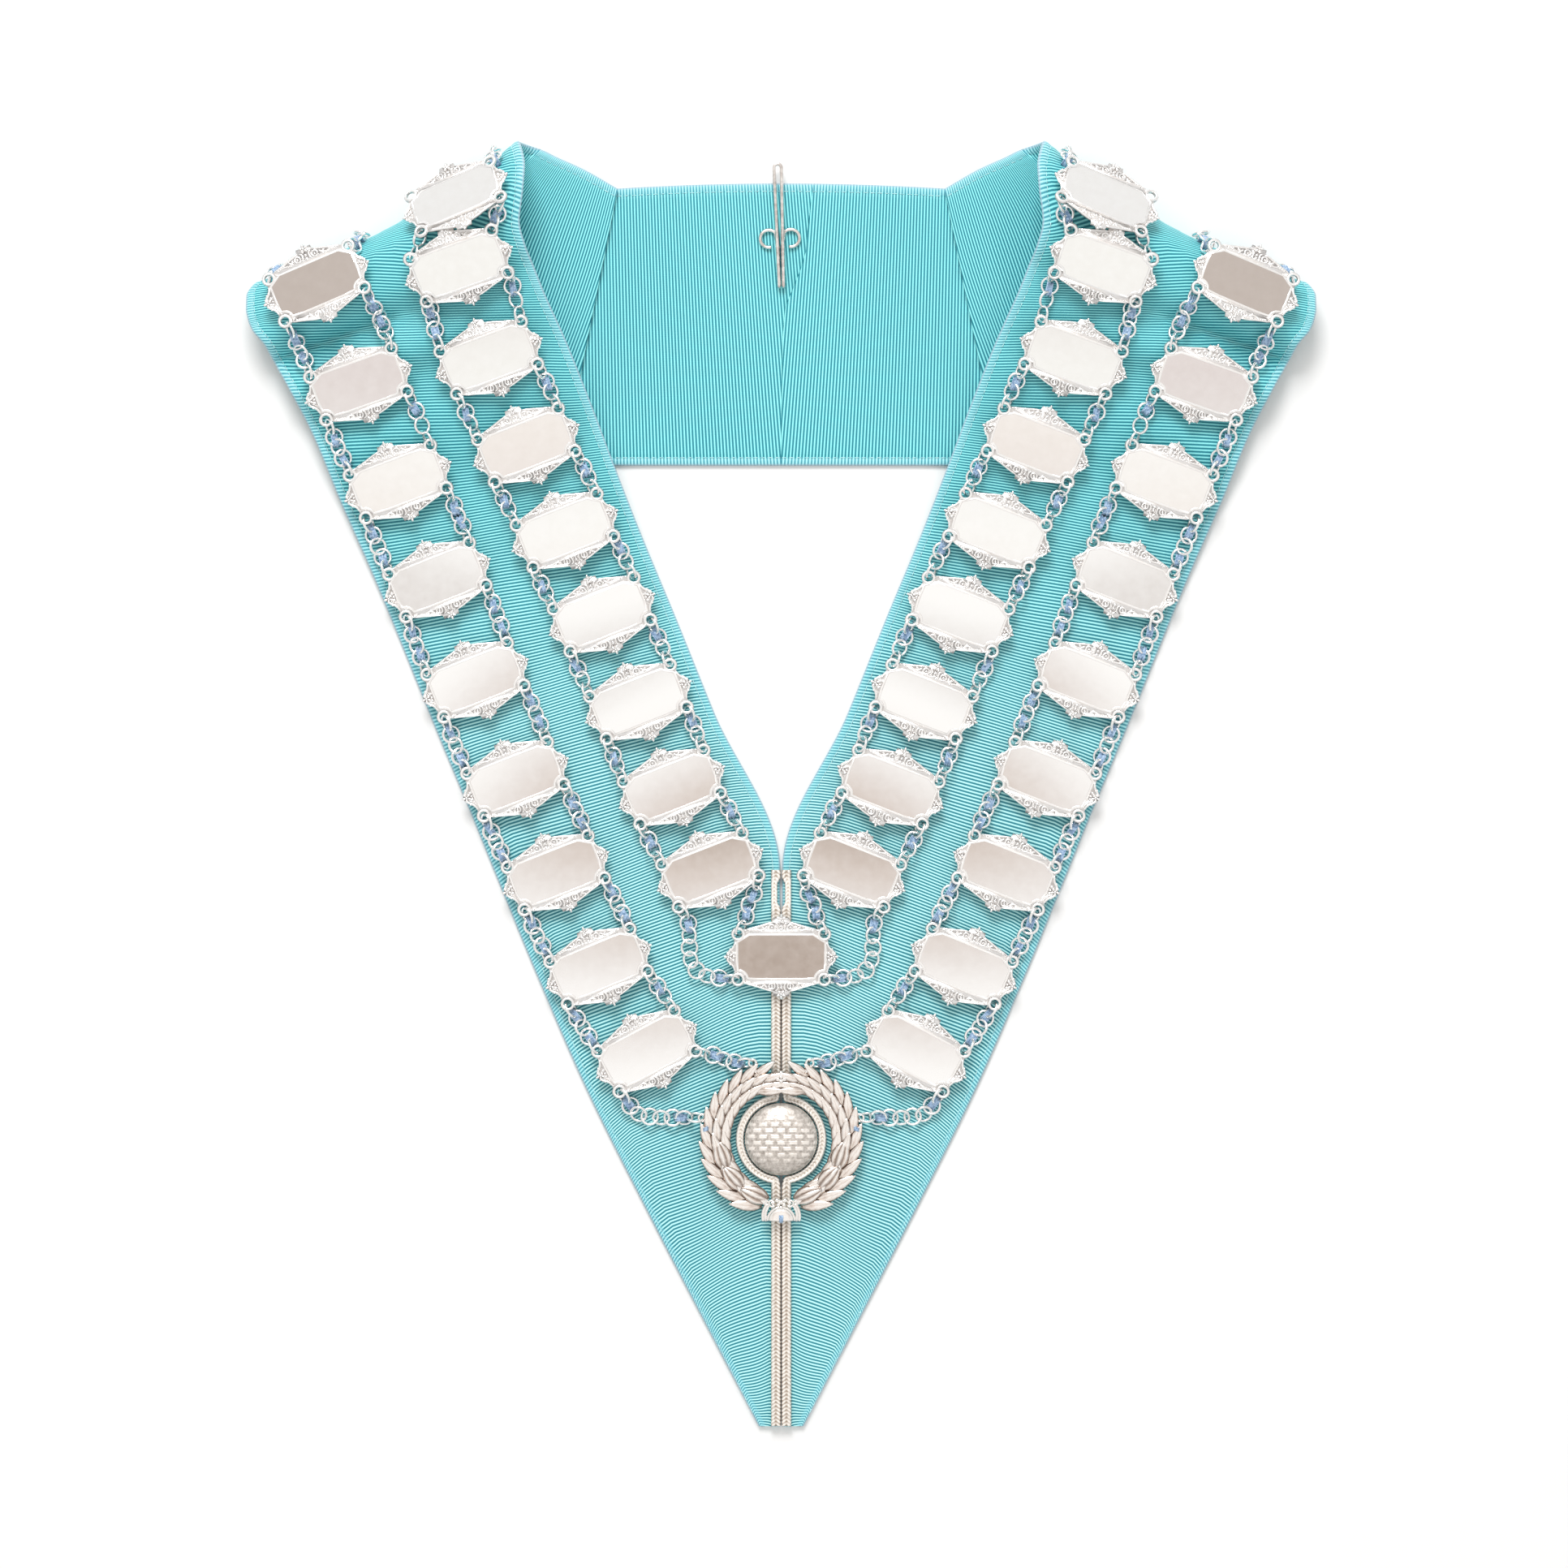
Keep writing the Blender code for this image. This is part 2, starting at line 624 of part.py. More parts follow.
def make_wreath(silver, collection):
    bow_half = BOW_WIDTH / 2
    bow_foot = -(WREATH_RADIUS + BOW_DROP)
    outer = [(bow_half, bow_foot)] + wreath_outline()
    outer += [(0.0, WREATH_RADIUS * (1.0 - WREATH_TAPER))] + [(-px, py) for px, py in reversed(outer)]
    inner = leaf_edge(WREATH_HOLLOW, -LEAF_NOTCH / 2, 0.0)
    inner = [(bow_half * BOW_WAIST, -WREATH_HOLLOW - LEAF_NOTCH / 2)] + [polar(*item) for item in inner]
    inner += [(-px, py) for px, py in reversed(inner)]
    centres = [eyelet_centre(angle) for angle in EYELET_ANGLES]
    centres += [(-px, py) for px, py in centres]
    holes = [circle_points(centre, EYELET_HOLE, 6) for centre in centres]
    mesh = flat_solid("wreath", [outer, inner] + holes, WREATH_THICKNESS)
    item = add_object("wreath", mesh, silver, collection)
    item.location = (0.0, height_up(WREATH_Y), FITTING_BASE + WREATH_THICKNESS / 2)


def make_button(cloth, collection):
    """Covered button: a turned profile, from the top of its dome down to its flat back."""
    edge = BUTTON_RADIUS
    dome = BUTTON_HEIGHT - BUTTON_BASE
    bends = [math.radians(angle) for angle in (90.0, 67.5, 45.0, 22.5, 0.0)]
    profile = [(edge * math.cos(a), BUTTON_BASE + dome * math.sin(a)) for a in bends]
    profile[0] = (0.0, BUTTON_HEIGHT)
    profile += [(edge * 0.9, 0.0), (0.0, 0.0)]
    mesh = bpy.data.meshes.new("button")
    edges = [(index, index + 1) for index in range(len(profile) - 1)]
    mesh.from_pydata([(x, 0.0, z) for x, z in profile], edges, [])
    item = add_object("button", mesh, cloth, collection)
    item.location = (0.0, height_up(WREATH_Y), CLOTH_TOP + GAP)
    screw = item.modifiers.new("turned", "SCREW")
    screw.axis = "Z"
    screw.steps = 24
    screw.render_steps = 24
    screw.use_merge_vertices = True
    screw.merge_threshold = 0.00001


def braid_profile(name):
    """Flattened section of the braid, for the curves to carry."""
    half = BRAID_WIDTH / 2
    flat = half * BRAID_FLAT
    thick = BRAID_THICKNESS / 2
    curve = bpy.data.curves.new(name, "CURVE")
    curve.dimensions = "2D"
    add_loop(curve, [(half, 0.0), (flat, thick), (-flat, thick),
                     (-half, 0.0), (-flat, -thick), (flat, -thick)])
    item = bpy.data.objects.new(name, curve)
    item.hide_render = True
    item.display_type = "WIRE"
    return item


def braid_route(top, centre, foot):
    """Left braid: down from the notch, round the button, and on to the point."""
    straight = BRAID_WIDTH / 2 + GAP / 2
    ring_width = BRAID_WIDTH * RING_BRAID_SHARE
    ring = BUTTON_RADIUS + GAP + ring_width / 2
    lean = math.degrees(math.asin((straight + ring_width * RING_OPENING) / ring))
    route = [(-straight, top, 1.0), (-straight, centre + ring + BRAIDS_PART * BRAID_WIDTH, 1.0)]
    bends = 12
    for index in range(bends + 1):
        angle = math.radians(90.0 + lean + (180.0 - 2 * lean) * index / bends)
        route.append((ring * math.cos(angle), centre + ring * math.sin(angle), RING_BRAID_SHARE))
    route.append((-straight, centre - ring - BRAIDS_MEET * BRAID_WIDTH, 1.0))
    route.append((-straight, foot, 1.0))
    return route


def make_braids(front, braid, collection, guides):
    profile = braid_profile("braid_profile")
    guides.objects.link(profile)
    route = braid_route(front.notch_y, height_up(WREATH_Y), Y_TIP)
    for name, side in (("braid_left", 1.0), ("braid_right", -1.0)):
        curve = bpy.data.curves.new(name, "CURVE")
        curve.dimensions = "2D"
        curve.bevel_mode = "OBJECT"
        curve.bevel_object = profile
        curve.use_fill_caps = True
        spline = curve.splines.new("POLY")
        spline.points.add(len(route) - 1)
        for target, (px, py, size) in zip(spline.points, route):
            target.co = (px * side, py, 0.0, 1.0)
            target.radius = size
        item = add_object(name, curve_as_mesh(curve, name), braid, collection)
        item.location.z = CLOTH_TOP + GAP + BRAID_THICKNESS / 2


def hook_half():
    """One half of the bent wire, from its sewing curl to the middle of its top loop."""
    radius = HOOK_WIRE / 2
    low = radius
    high = low + HOOK_WIRE + GAP
    strand = radius + GAP / 2
    top = HOOK_TOP_SPREAD / 2
    curl_y = HOOK_LENGTH * CURL_PLACE
    curl_x = -(strand + CURL_RADIUS)
    half = []
    bends = 8
    for step in range(bends + 1):
        angle = math.radians(CURL_START - CURL_SWEEP * step / bends)
        half.append((curl_x + CURL_RADIUS * math.cos(angle), curl_y + CURL_RADIUS * math.sin(angle), low))
    half.append((-strand, curl_y - CURL_RADIUS, low))
    bend = (high - low) / 2
    for angle in (0.0, 45.0, 90.0, 135.0, 180.0):
        turn = math.radians(angle)
        y = radius + bend - bend * math.sin(turn)
        half.append((-strand, y, low + bend - bend * math.cos(turn)))
    loop_y = HOOK_LENGTH - radius - top
    for angle in (0.0, 30.0, 60.0, 90.0):
        turn = math.radians(angle)
        half.append((-top * math.cos(turn), loop_y + top * math.sin(turn), high))
    return half


def make_hook(front, silver, collection):
    half = hook_half()
    wire = half + [(-x, y, z) for x, y, z in reversed(half[:-1])]
    foot_y = front.panel[0][1] + HOOK_PAST_EDGE - HOOK_LENGTH
    top = Vector((0.0, HOOK_LENGTH, 0.0))
    turn = Matrix.Rotation(math.radians(HOOK_TURN), 4, "Z")
    base = Vector((-HOOK_ASIDE, foot_y, CLOTH_TOP + GAP)) + top
    points = [turn @ (Vector(point) - top) + base for point in wire]
    tube("hook", points, HOOK_WIRE, 1, silver, collection)


def main():
    clear_scene()
    collection = make_collection("chain_collar")
    guides = make_collection("guides")
    cloth = make_material("ribbon", (0.22, 0.68, 0.74), 0.0, 0.6)
    silver = make_material("silver", (0.86, 0.84, 0.82), 1.0, 0.18)
    braid = make_material("braid", (0.70, 0.64, 0.58), 0.6, 0.45)
    weave = make_material("button_cloth", (0.74, 0.68, 0.63), 0.5, 0.4)

    front = Front()
    seats = {}
    for name, rows in (("outer", OUTER_PLATES), ("inner", INNER_PLATES)):
        seats[name] = [Seat(front, **dict(zip(PLATE_COLUMNS, row))) for row in rows]
    make_fronts(front, cloth, collection)
    make_back(front, cloth, collection)
    make_plates(seats, silver, collection)
    make_chains(front, seats, silver, collection)
    make_wreath(silver, collection)
    make_button(weave, collection)
    make_braids(front, braid, collection, guides)
    make_hook(front, silver, collection)


main()
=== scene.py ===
"""Looks of a ribbon chain collar that lies face up on a pale table."""
import math

import bmesh
import bpy
import numpy as np
from mathutils import Matrix, Vector
from mathutils.bvhtree import BVHTree


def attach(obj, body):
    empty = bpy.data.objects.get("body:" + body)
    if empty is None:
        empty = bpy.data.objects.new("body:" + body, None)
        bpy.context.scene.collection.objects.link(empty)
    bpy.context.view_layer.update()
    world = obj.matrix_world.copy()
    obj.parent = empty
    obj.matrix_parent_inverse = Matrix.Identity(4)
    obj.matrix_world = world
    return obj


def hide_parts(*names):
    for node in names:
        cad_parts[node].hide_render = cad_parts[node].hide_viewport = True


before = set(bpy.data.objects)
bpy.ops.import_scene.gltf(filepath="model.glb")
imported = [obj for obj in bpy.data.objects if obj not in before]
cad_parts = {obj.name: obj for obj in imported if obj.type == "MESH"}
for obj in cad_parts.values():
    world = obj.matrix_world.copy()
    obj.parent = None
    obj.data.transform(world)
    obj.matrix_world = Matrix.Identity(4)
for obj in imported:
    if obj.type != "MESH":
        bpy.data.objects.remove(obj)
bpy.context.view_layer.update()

MM = 0.001
RIGHT, AHEAD, UP = np.eye(3)
MIRROR = np.array((-1.0, 1.0, 1.0))
HANDS = (("left", False), ("right", True))

# the view from straight above, whose frame is counted in the photo's pixels
CAMERA_HEIGHT = 2.4
FRAME_PIXELS = 1932
PIXEL_SIZE = 0.3077 * MM
COLLAR_MIDDLE_PIXEL = 962.5
FRAME_WIDTH = FRAME_PIXELS * PIXEL_SIZE
FRAME_SHIFT_X = 0.5 - COLLAR_MIDDLE_PIXEL / FRAME_PIXELS

# studio
KEY_PLACE = (-0.25, 1.7, 1.7)
KEY_SIZE = 1.0
KEY_POWER = 38.0
SKY_STRENGTH = 0.74
FLOOR_HALF = 3.0

# the collar's cloth
COLLAR_LENGTH = 487.0 * MM
COLLAR_SPAN = 405.6 * MM
ROLL_HEIGHT = 30.0 * MM
CLOTH = 2.0 * MM
GAP = 0.3 * MM
PANEL_DEPTH = 104.7 * MM
PANEL_CROWN = 2.2 * MM
SEAM_LAP = 4.0 * MM
STACK_MARGIN = 10.0 * MM
STACK_RAMP = 25.0 * MM
RIBBON_WIDTH = 100.0 * MM
HALF_SPAN = (COLLAR_SPAN - CLOTH) / 2
Y_TIP = -COLLAR_LENGTH / 2
Y_REACH = COLLAR_LENGTH - CLOTH / 2
Z_REACH = ROLL_HEIGHT - CLOTH

# Lines across a front, from the pleat seam, over the shoulder, to the point, for the ribbon's outer
# and inner edge: x as a share of half the span, y of the length from the point, z of the roll's
# height, and by what share of half the span the line's middle stands out.
FRONT_COLUMNS = ("row", "out_x", "out_y", "out_z", "in_x", "in_y", "in_z", "bow")
FRONT_ROWS = (
    ("seam", 0.411, 0.755, 0.00, 0.307, 0.965, 0.00, 0.000),
    ("gusset_low", 0.614, 0.792, 0.00, 0.370, 0.980, 0.00, 0.000),
    ("gusset_high", 0.812, 0.828, 0.00, 0.422, 0.990, 0.00, 0.000),
    ("heel", 0.965, 0.858, 0.004, 0.452, 0.996, 0.004, -0.010),
    ("under", 0.989, 0.875, 0.09, 0.478, 0.999, 0.14, -0.026),
    ("turn", 0.988, 0.889, 0.25, 0.490, 1.000, 0.40, -0.030),
    ("brow", 1.000, 0.880, 0.39, 0.483, 0.992, 0.70, -0.022),
    ("high_brow", 1.000, 0.870, 0.46, 0.477, 0.978, 0.93, -0.012),
    ("crest", 0.996, 0.861, 0.49, 0.479, 0.961, 1.00, 0.000),
    ("past_crest", 0.988, 0.853, 0.47, 0.486, 0.936, 0.97, 0.000),
    ("swell", 0.966, 0.842, 0.44, 0.477, 0.919, 0.91, 0.000),
    ("crease", 0.953, 0.831, 0.30, 0.461, 0.902, 0.76, 0.000),
    ("below", 0.925, 0.811, 0.31, 0.445, 0.885, 0.69, 0.000),
    ("slope", 0.876, 0.771, 0.20, 0.403, 0.846, 0.50, 0.000),
    ("low_slope", 0.826, 0.720, 0.11, 0.356, 0.797, 0.32, 0.000),
    ("foot", 0.772, 0.669, 0.04, 0.309, 0.745, 0.17, 0.000),
    ("landing", 0.722, 0.619, 0.01, 0.262, 0.695, 0.06, 0.000),
    ("flat", 0.661, 0.556, 0.00, 0.199, 0.632, 0.00, 0.000),
    ("chest", 0.583, 0.478, 0.00, 0.126, 0.557, 0.00, 0.000),
    ("notch", 0.460, 0.353, 0.00, 0.002, 0.434, 0.00, 0.000),
    ("upper_point", 0.367, 0.264, 0.00, 0.002, 0.334, 0.00, 0.000),
    ("mid_point", 0.246, 0.163, 0.00, 0.002, 0.214, 0.00, 0.000),
    ("low_point", 0.120, 0.062, 0.00, 0.002, 0.100, 0.00, 0.000),
    ("tip", 0.042, 0.000, 0.00, 0.002, 0.000, 0.00, 0.000),
)

# ribs, hem and stitches of the ribbon
RIB_PITCH = 1.2 * MM
PANEL_RIB_PITCH = 1.15 * MM
RIB_HEIGHT = 0.22 * MM
RIB_SAMPLES = (0.0, 0.36, 0.64)
HEM_COLUMNS = (0.0, 0.5, 1.3, 2.3, 2.9, 3.5, 4.6)
COLUMN_STEP = 7.0 * MM
STITCH_INSET = 2.9 * MM
STITCH_LENGTH = 2.3 * MM
STITCH_GAP = 0.45 * MM
STITCH_THREAD = 0.16 * MM
STITCH_ARC = (-0.25, 0.12, 0.2, 0.12, -0.25)
STITCH_SINK = 0.3 * MM
CLOTH_WELD = 0.004 * MM
# widths of the hem's border and its fringed rim, and the pitch of the weft, in mm
BORDER_WIDTH = 2.6
FRINGE_WIDTH = 0.55
WEFT_PITCH = 0.55
# Painted sheen: the ribbon is painted paler towards the point, where its satin catches more sheen, from this
# place along Y, and fully so this much lower.
PAINTED_SHEEN_FROM_Y = 0.12
PAINTED_SHEEN_OVER = 0.11
# The ribs sway a little along a front, and turn up by this much at its two edges below the roll.
RIB_SWAY = 0.9 * MM
RIB_SWAY_LENGTH = 71.0 * MM
INNER_TURN = 4.5 * MM
INNER_TURN_SHARE = 0.24
OUTER_TURN = 3.0 * MM
OUTER_TURN_SHARE = 0.14
TURN_GROWS_OVER = 60.0 * MM
# How far a rib's inner end runs ahead of its outer end, in mm, at each row.
RIB_LEAD = (
    ("seam", -12.0), ("gusset_high", 42.0), ("heel", 53.0), ("crest", 46.0), ("below", 41.0),
    ("foot", 24.0), ("flat", 13.0), ("chest", 9.0), ("notch", 3.0), ("upper_point", 1.0),
    ("mid_point", 4.0), ("low_point", 6.0), ("tip", 6.0),
)

# Soft folds of a front: the row they follow, and in mm how far past it, how high and how wide,
# and the share across at which they have died out.
FOLDS = (
    ("swell", -3.0, 1.5, 6.0, 0.75), ("crease", 0.5, -3.3, 2.8, 0.66), ("below", 4.0, 1.9, 5.5, 0.80),
    ("slope", -8.0, -1.3, 5.0, 0.95), ("slope", 9.0, 1.1, 6.5, 1.10), ("low_slope", 6.0, -0.9, 7.5, 1.10),
)
FOLD_FADE = 0.35

# corner holes of a plate, in mm from its middle
HOLE_X = 16.3
HOLE_Y = 8.6
HOLE_RADIUS = 1.5
PLATE_CLEAR = 4.1 * MM
PLATE_NUMBERS = range(1, 10)
WREATH_Y = 0.2242
FITTING_BASE = CLOTH + PLATE_CLEAR

# rings of the chains
RING_RADIUS = 3.08 * MM
RING_WIRE = 0.575 * MM
RING_FROM_HOLE = 2.55 * MM
RING_PITCH = 4.6 * MM
# roll of each ring out of the cloth's plane, in degrees, and the height of its middle
END_ROLL = 60.0
END_RISE = 3.2 * MM
MIDDLE_SEATS = ((34.0, 2.8 * MM), (12.0, 2.3 * MM))
LYING_RISE = 2.3 * MM
CHAIN_OVER_ROLL = 5.0 * MM
# bundles of sewing thread: the range of strands, and how they lie in a ring
BUNDLE_STRANDS = (5, 7)
BUNDLE_SKEW = 0.25
BUNDLE_SHIFT = 1.3 * MM
BUNDLE_REACH = 2.7 * MM
BUNDLE_RISE = 1.1 * MM
BUNDLE_SINK = 0.2 * MM
STRAND_PITCH = 0.50 * MM
STRAND_RADIUS = 0.30 * MM
# where the last runs of rings bend, in shares of half the span and of the length
INNER_ROW_INNER_RUN = ((0.048, 0.418), (0.060, 0.410), (0.066, 0.398))
INNER_ROW_OUTER_RUN = ((0.174, 0.392), (0.171, 0.366), (0.150, 0.353), (0.120, 0.350))
OUTER_ROW_INNER_RUN = ((0.120, 0.289), (0.088, 0.284))
OUTER_ROW_OUTER_RUN = ((0.262, 0.243), (0.215, 0.241))

# wreath, button, braids and hook, in mm
WREATH_RADIUS = 29.6
EYELET_ANGLES = (69.5, 15.5)
EYELET_REACH = 1.045
BUTTON_RADIUS = 13.8
BUTTON_HEIGHT = 7.5
BRAID_WIDTH = 3.7
BRAID_THICKNESS = 2.0
RING_BRAID_SHARE = 0.84
SLOT_FROM_TOP = 2.0
SLOT_LENGTH = 13.5
SLOT_SHARE = 0.66
SLOT_ASIDE = BRAID_WIDTH / 2 * (1.0 - SLOT_SHARE)
HOOK_LENGTH = 47.9
HOOK_WIRE = 1.4
HOOK_TOP_SPREAD = 2.8
HOOK_TURN = 1.8
HOOK_ASIDE = 1.4
HOOK_PAST_EDGE = 10.0
CURL_RADIUS = 3.3
CURL_PLACE = 0.40
CURL_START = -75.0
CURL_SWEEP = 245.0


def height_up(share):
    """Turn a share of the length into a place along Y, from the point to the neck."""
    return Y_TIP + share * Y_REACH


def place(share_x, share_y):
    return -share_x * HALF_SPAN, height_up(share_y)


def unit(vectors):
    return vectors / np.maximum(np.linalg.norm(vectors, axis=-1, keepdims=True), 1e-12)


def distance_along(points):
    """Distance to each point of a path, from its start."""
    steps = np.linalg.norm(np.diff(points, axis=0), axis=1)
    return np.concatenate([[0.0], np.cumsum(steps)])


def sampled(stops, travelled, rows):
    """Rows of values at some distances along a path."""
    return np.column_stack([np.interp(stops, travelled, column) for column in rows.T])


def polar(angle, radius):
    return np.array((radius * math.cos(math.radians(angle)), radius * math.sin(math.radians(angle)), 0.0))


def circle(count):
    return np.arange(count) * 2 * math.pi / count


def in_mm(x=0.0, y=0.0, z=0.0):
    """Placing of a piece that is modelled in mm."""
    matrix = Matrix.Diagonal((MM, MM, MM, 1.0))
    matrix.translation = Vector((x, y, z))
    return matrix


class Spline:
    """Smooth curve through rows of values that never overshoots them."""

    def __init__(self, knots, values):
        self.knots = knots
        self.values = values
        step = np.diff(knots)[:, None]
        rise = np.diff(values, axis=0) / step
        same_way = rise[:-1] * rise[1:] > 0
        before = np.where(same_way, rise[:-1], 1.0)
        after = np.where(same_way, rise[1:], 1.0)
        weight_before = 2 * step[1:] + step[:-1]
        weight_after = step[1:] + 2 * step[:-1]
        mean = (weight_before + weight_after) / (weight_before / before + weight_after / after)
        self.slopes = np.vstack([rise[:1], np.where(same_way, mean, 0.0), rise[-1:]])

    def at(self, places):
        places = np.clip(places, self.knots[0], self.knots[-1])
        row = np.clip(np.searchsorted(self.knots, places, side="right") - 1, 0, len(self.knots) - 2)
        step = (self.knots[row + 1] - self.knots[row])[:, None]
        t = ((places - self.knots[row])[:, None]) / step
        start = self.values[row] * (2 * t**3 - 3 * t**2 + 1)
        end = self.values[row + 1] * (3 * t**2 - 2 * t**3)
        start_slope = self.slopes[row] * (t**3 - 2 * t**2 + t) * step
        end_slope = self.slopes[row + 1] * (t**3 - t**2) * step
        return start + end + start_slope + end_slope


def smooth_path(points, count):
    """Evenly spaced places on a smooth curve through a few points."""
    knots = np.arange(len(points), dtype=float)
    return Spline(knots, np.array(points, dtype=float)).at(np.linspace(0.0, knots[-1], count))


def outside(points, corners):
    """Distance in plan by which each point lies outside a convex outline, negative within."""
    worst = np.full(points.shape[:-1], -1.0)
    middle = np.mean(corners, axis=0)
    for start, end in zip(corners, np.roll(corners, -1, axis=0)):
        along = (end - start) / np.linalg.norm(end - start)
        normal = np.array((along[1], -along[0]))
        if np.dot(middle - start, normal) > 0:
            normal = -normal
        worst = np.maximum(worst, (points[..., :2] - start) @ normal)
    return worst


def covered(points, corners):
    """1 above a layer and a margin round it, falling to 0 further out."""
    past = outside(points, corners) - STACK_MARGIN
    return np.clip(1.0 - past / STACK_RAMP, 0.0, 1.0)


class Front:
    """The left ribbon front as a surface, by distance from the seam and share across."""

    def __init__(self):
        table = [dict(zip(FRONT_COLUMNS, row)) for row in FRONT_ROWS]
        self.names = [row["row"] for row in table]
        outer = np.array([self.edge_point(row, "out") for row in table])
        inner = np.array([self.edge_point(row, "in") for row in table])
        seam_x, seam_y = inner[0][:2]
        outer[0][1] = seam_y - PANEL_DEPTH
        bow = np.array([[row["bow"] * HALF_SPAN] for row in table])
        self.knots = distance_along((outer + inner) / 2)
        self.spline = Spline(self.knots, np.hstack([outer, inner, bow]))
        self.length = self.knots[-1]
        self.turn = self.place_of("turn")
        self.heel = self.place_of("heel")
        self.notch_y = inner[self.names.index("notch")][1]
        foot = outer[0][:2]
        self.panel = np.array([
            (seam_x - SEAM_LAP, seam_y),
            (foot[0] - SEAM_LAP, foot[1]),
            (0.0, foot[1]),
            (0.0, seam_y),
        ])
        heel_row = self.names.index("heel")
        self.gusset = np.array([inner[0][:2], foot, outer[heel_row][:2], inner[heel_row][:2]])

    @staticmethod
    def edge_point(row, edge):
        x, y = place(row[edge + "_x"], row[edge + "_y"])
        return x, y, CLOTH / 2 + row[edge + "_z"] * Z_REACH

    def place_of(self, name):
        return self.knots[self.names.index(name)]

    def middle(self, where, share):
        """Middle of the cloth at each pair of place along and share across."""
        rows = self.spline.at(where.ravel())
        outer = rows[:, 0:3]
        inner = rows[:, 3:6]
        across = share.ravel()[:, None]
        line = inner - outer
        sideways = unit(np.column_stack([-line[:, 1], line[:, 0], 0 * line[:, 0]]))
        found = outer + line * across + sideways * rows[:, 6:7] * 4 * across * (1 - across)
        found = found.reshape(where.shape + (3,))
        layer = CLOTH + GAP
        on_panel = covered(found, self.panel)
        on_gusset = covered(found, self.gusset)
        base = np.where(where > self.turn, layer * (on_panel + on_gusset), 0.0)
        base = np.where(where < self.heel, layer * on_panel, base)
        found[..., 2] = np.maximum(found[..., 2], CLOTH / 2 + base)
        for name, past, height, width, last in FOLDS:
            off = (where - self.place_of(name)) / MM - past
            fade = np.clip((last - share) / FOLD_FADE, 0.0, 1.0)
            found[..., 2] += height * MM * np.exp(-(off / width) ** 2) * fade
        return found

    def skin(self, where, share):
        """Middle of the cloth, and its outward normal, at each pair."""
        nudge = 0.8 * MM
        side = 0.008
        along = self.middle(where + nudge, share) - self.middle(where - nudge, share)
        across = self.middle(where, share + side) - self.middle(where, share - side)
        return self.middle(where, share), unit(np.cross(along, across))


def add_object(name, data):
    item = bpy.data.objects.new(name, data)
    bpy.context.scene.collection.objects.link(item)
    return item


def grid_faces(rows, columns, wrap_rows=False, wrap_columns=False):
    row = np.arange(rows if wrap_rows else rows - 1)[:, None]
    column = np.arange(columns if wrap_columns else columns - 1)[None, :]
    next_row = (row + 1) % rows
    next_column = (column + 1) % columns
    corners = [row * columns + column, next_row * columns + column,
               next_row * columns + next_column, row * columns + next_column]
    return np.stack(np.broadcast_arrays(*corners), axis=-1).reshape(-1, 4)


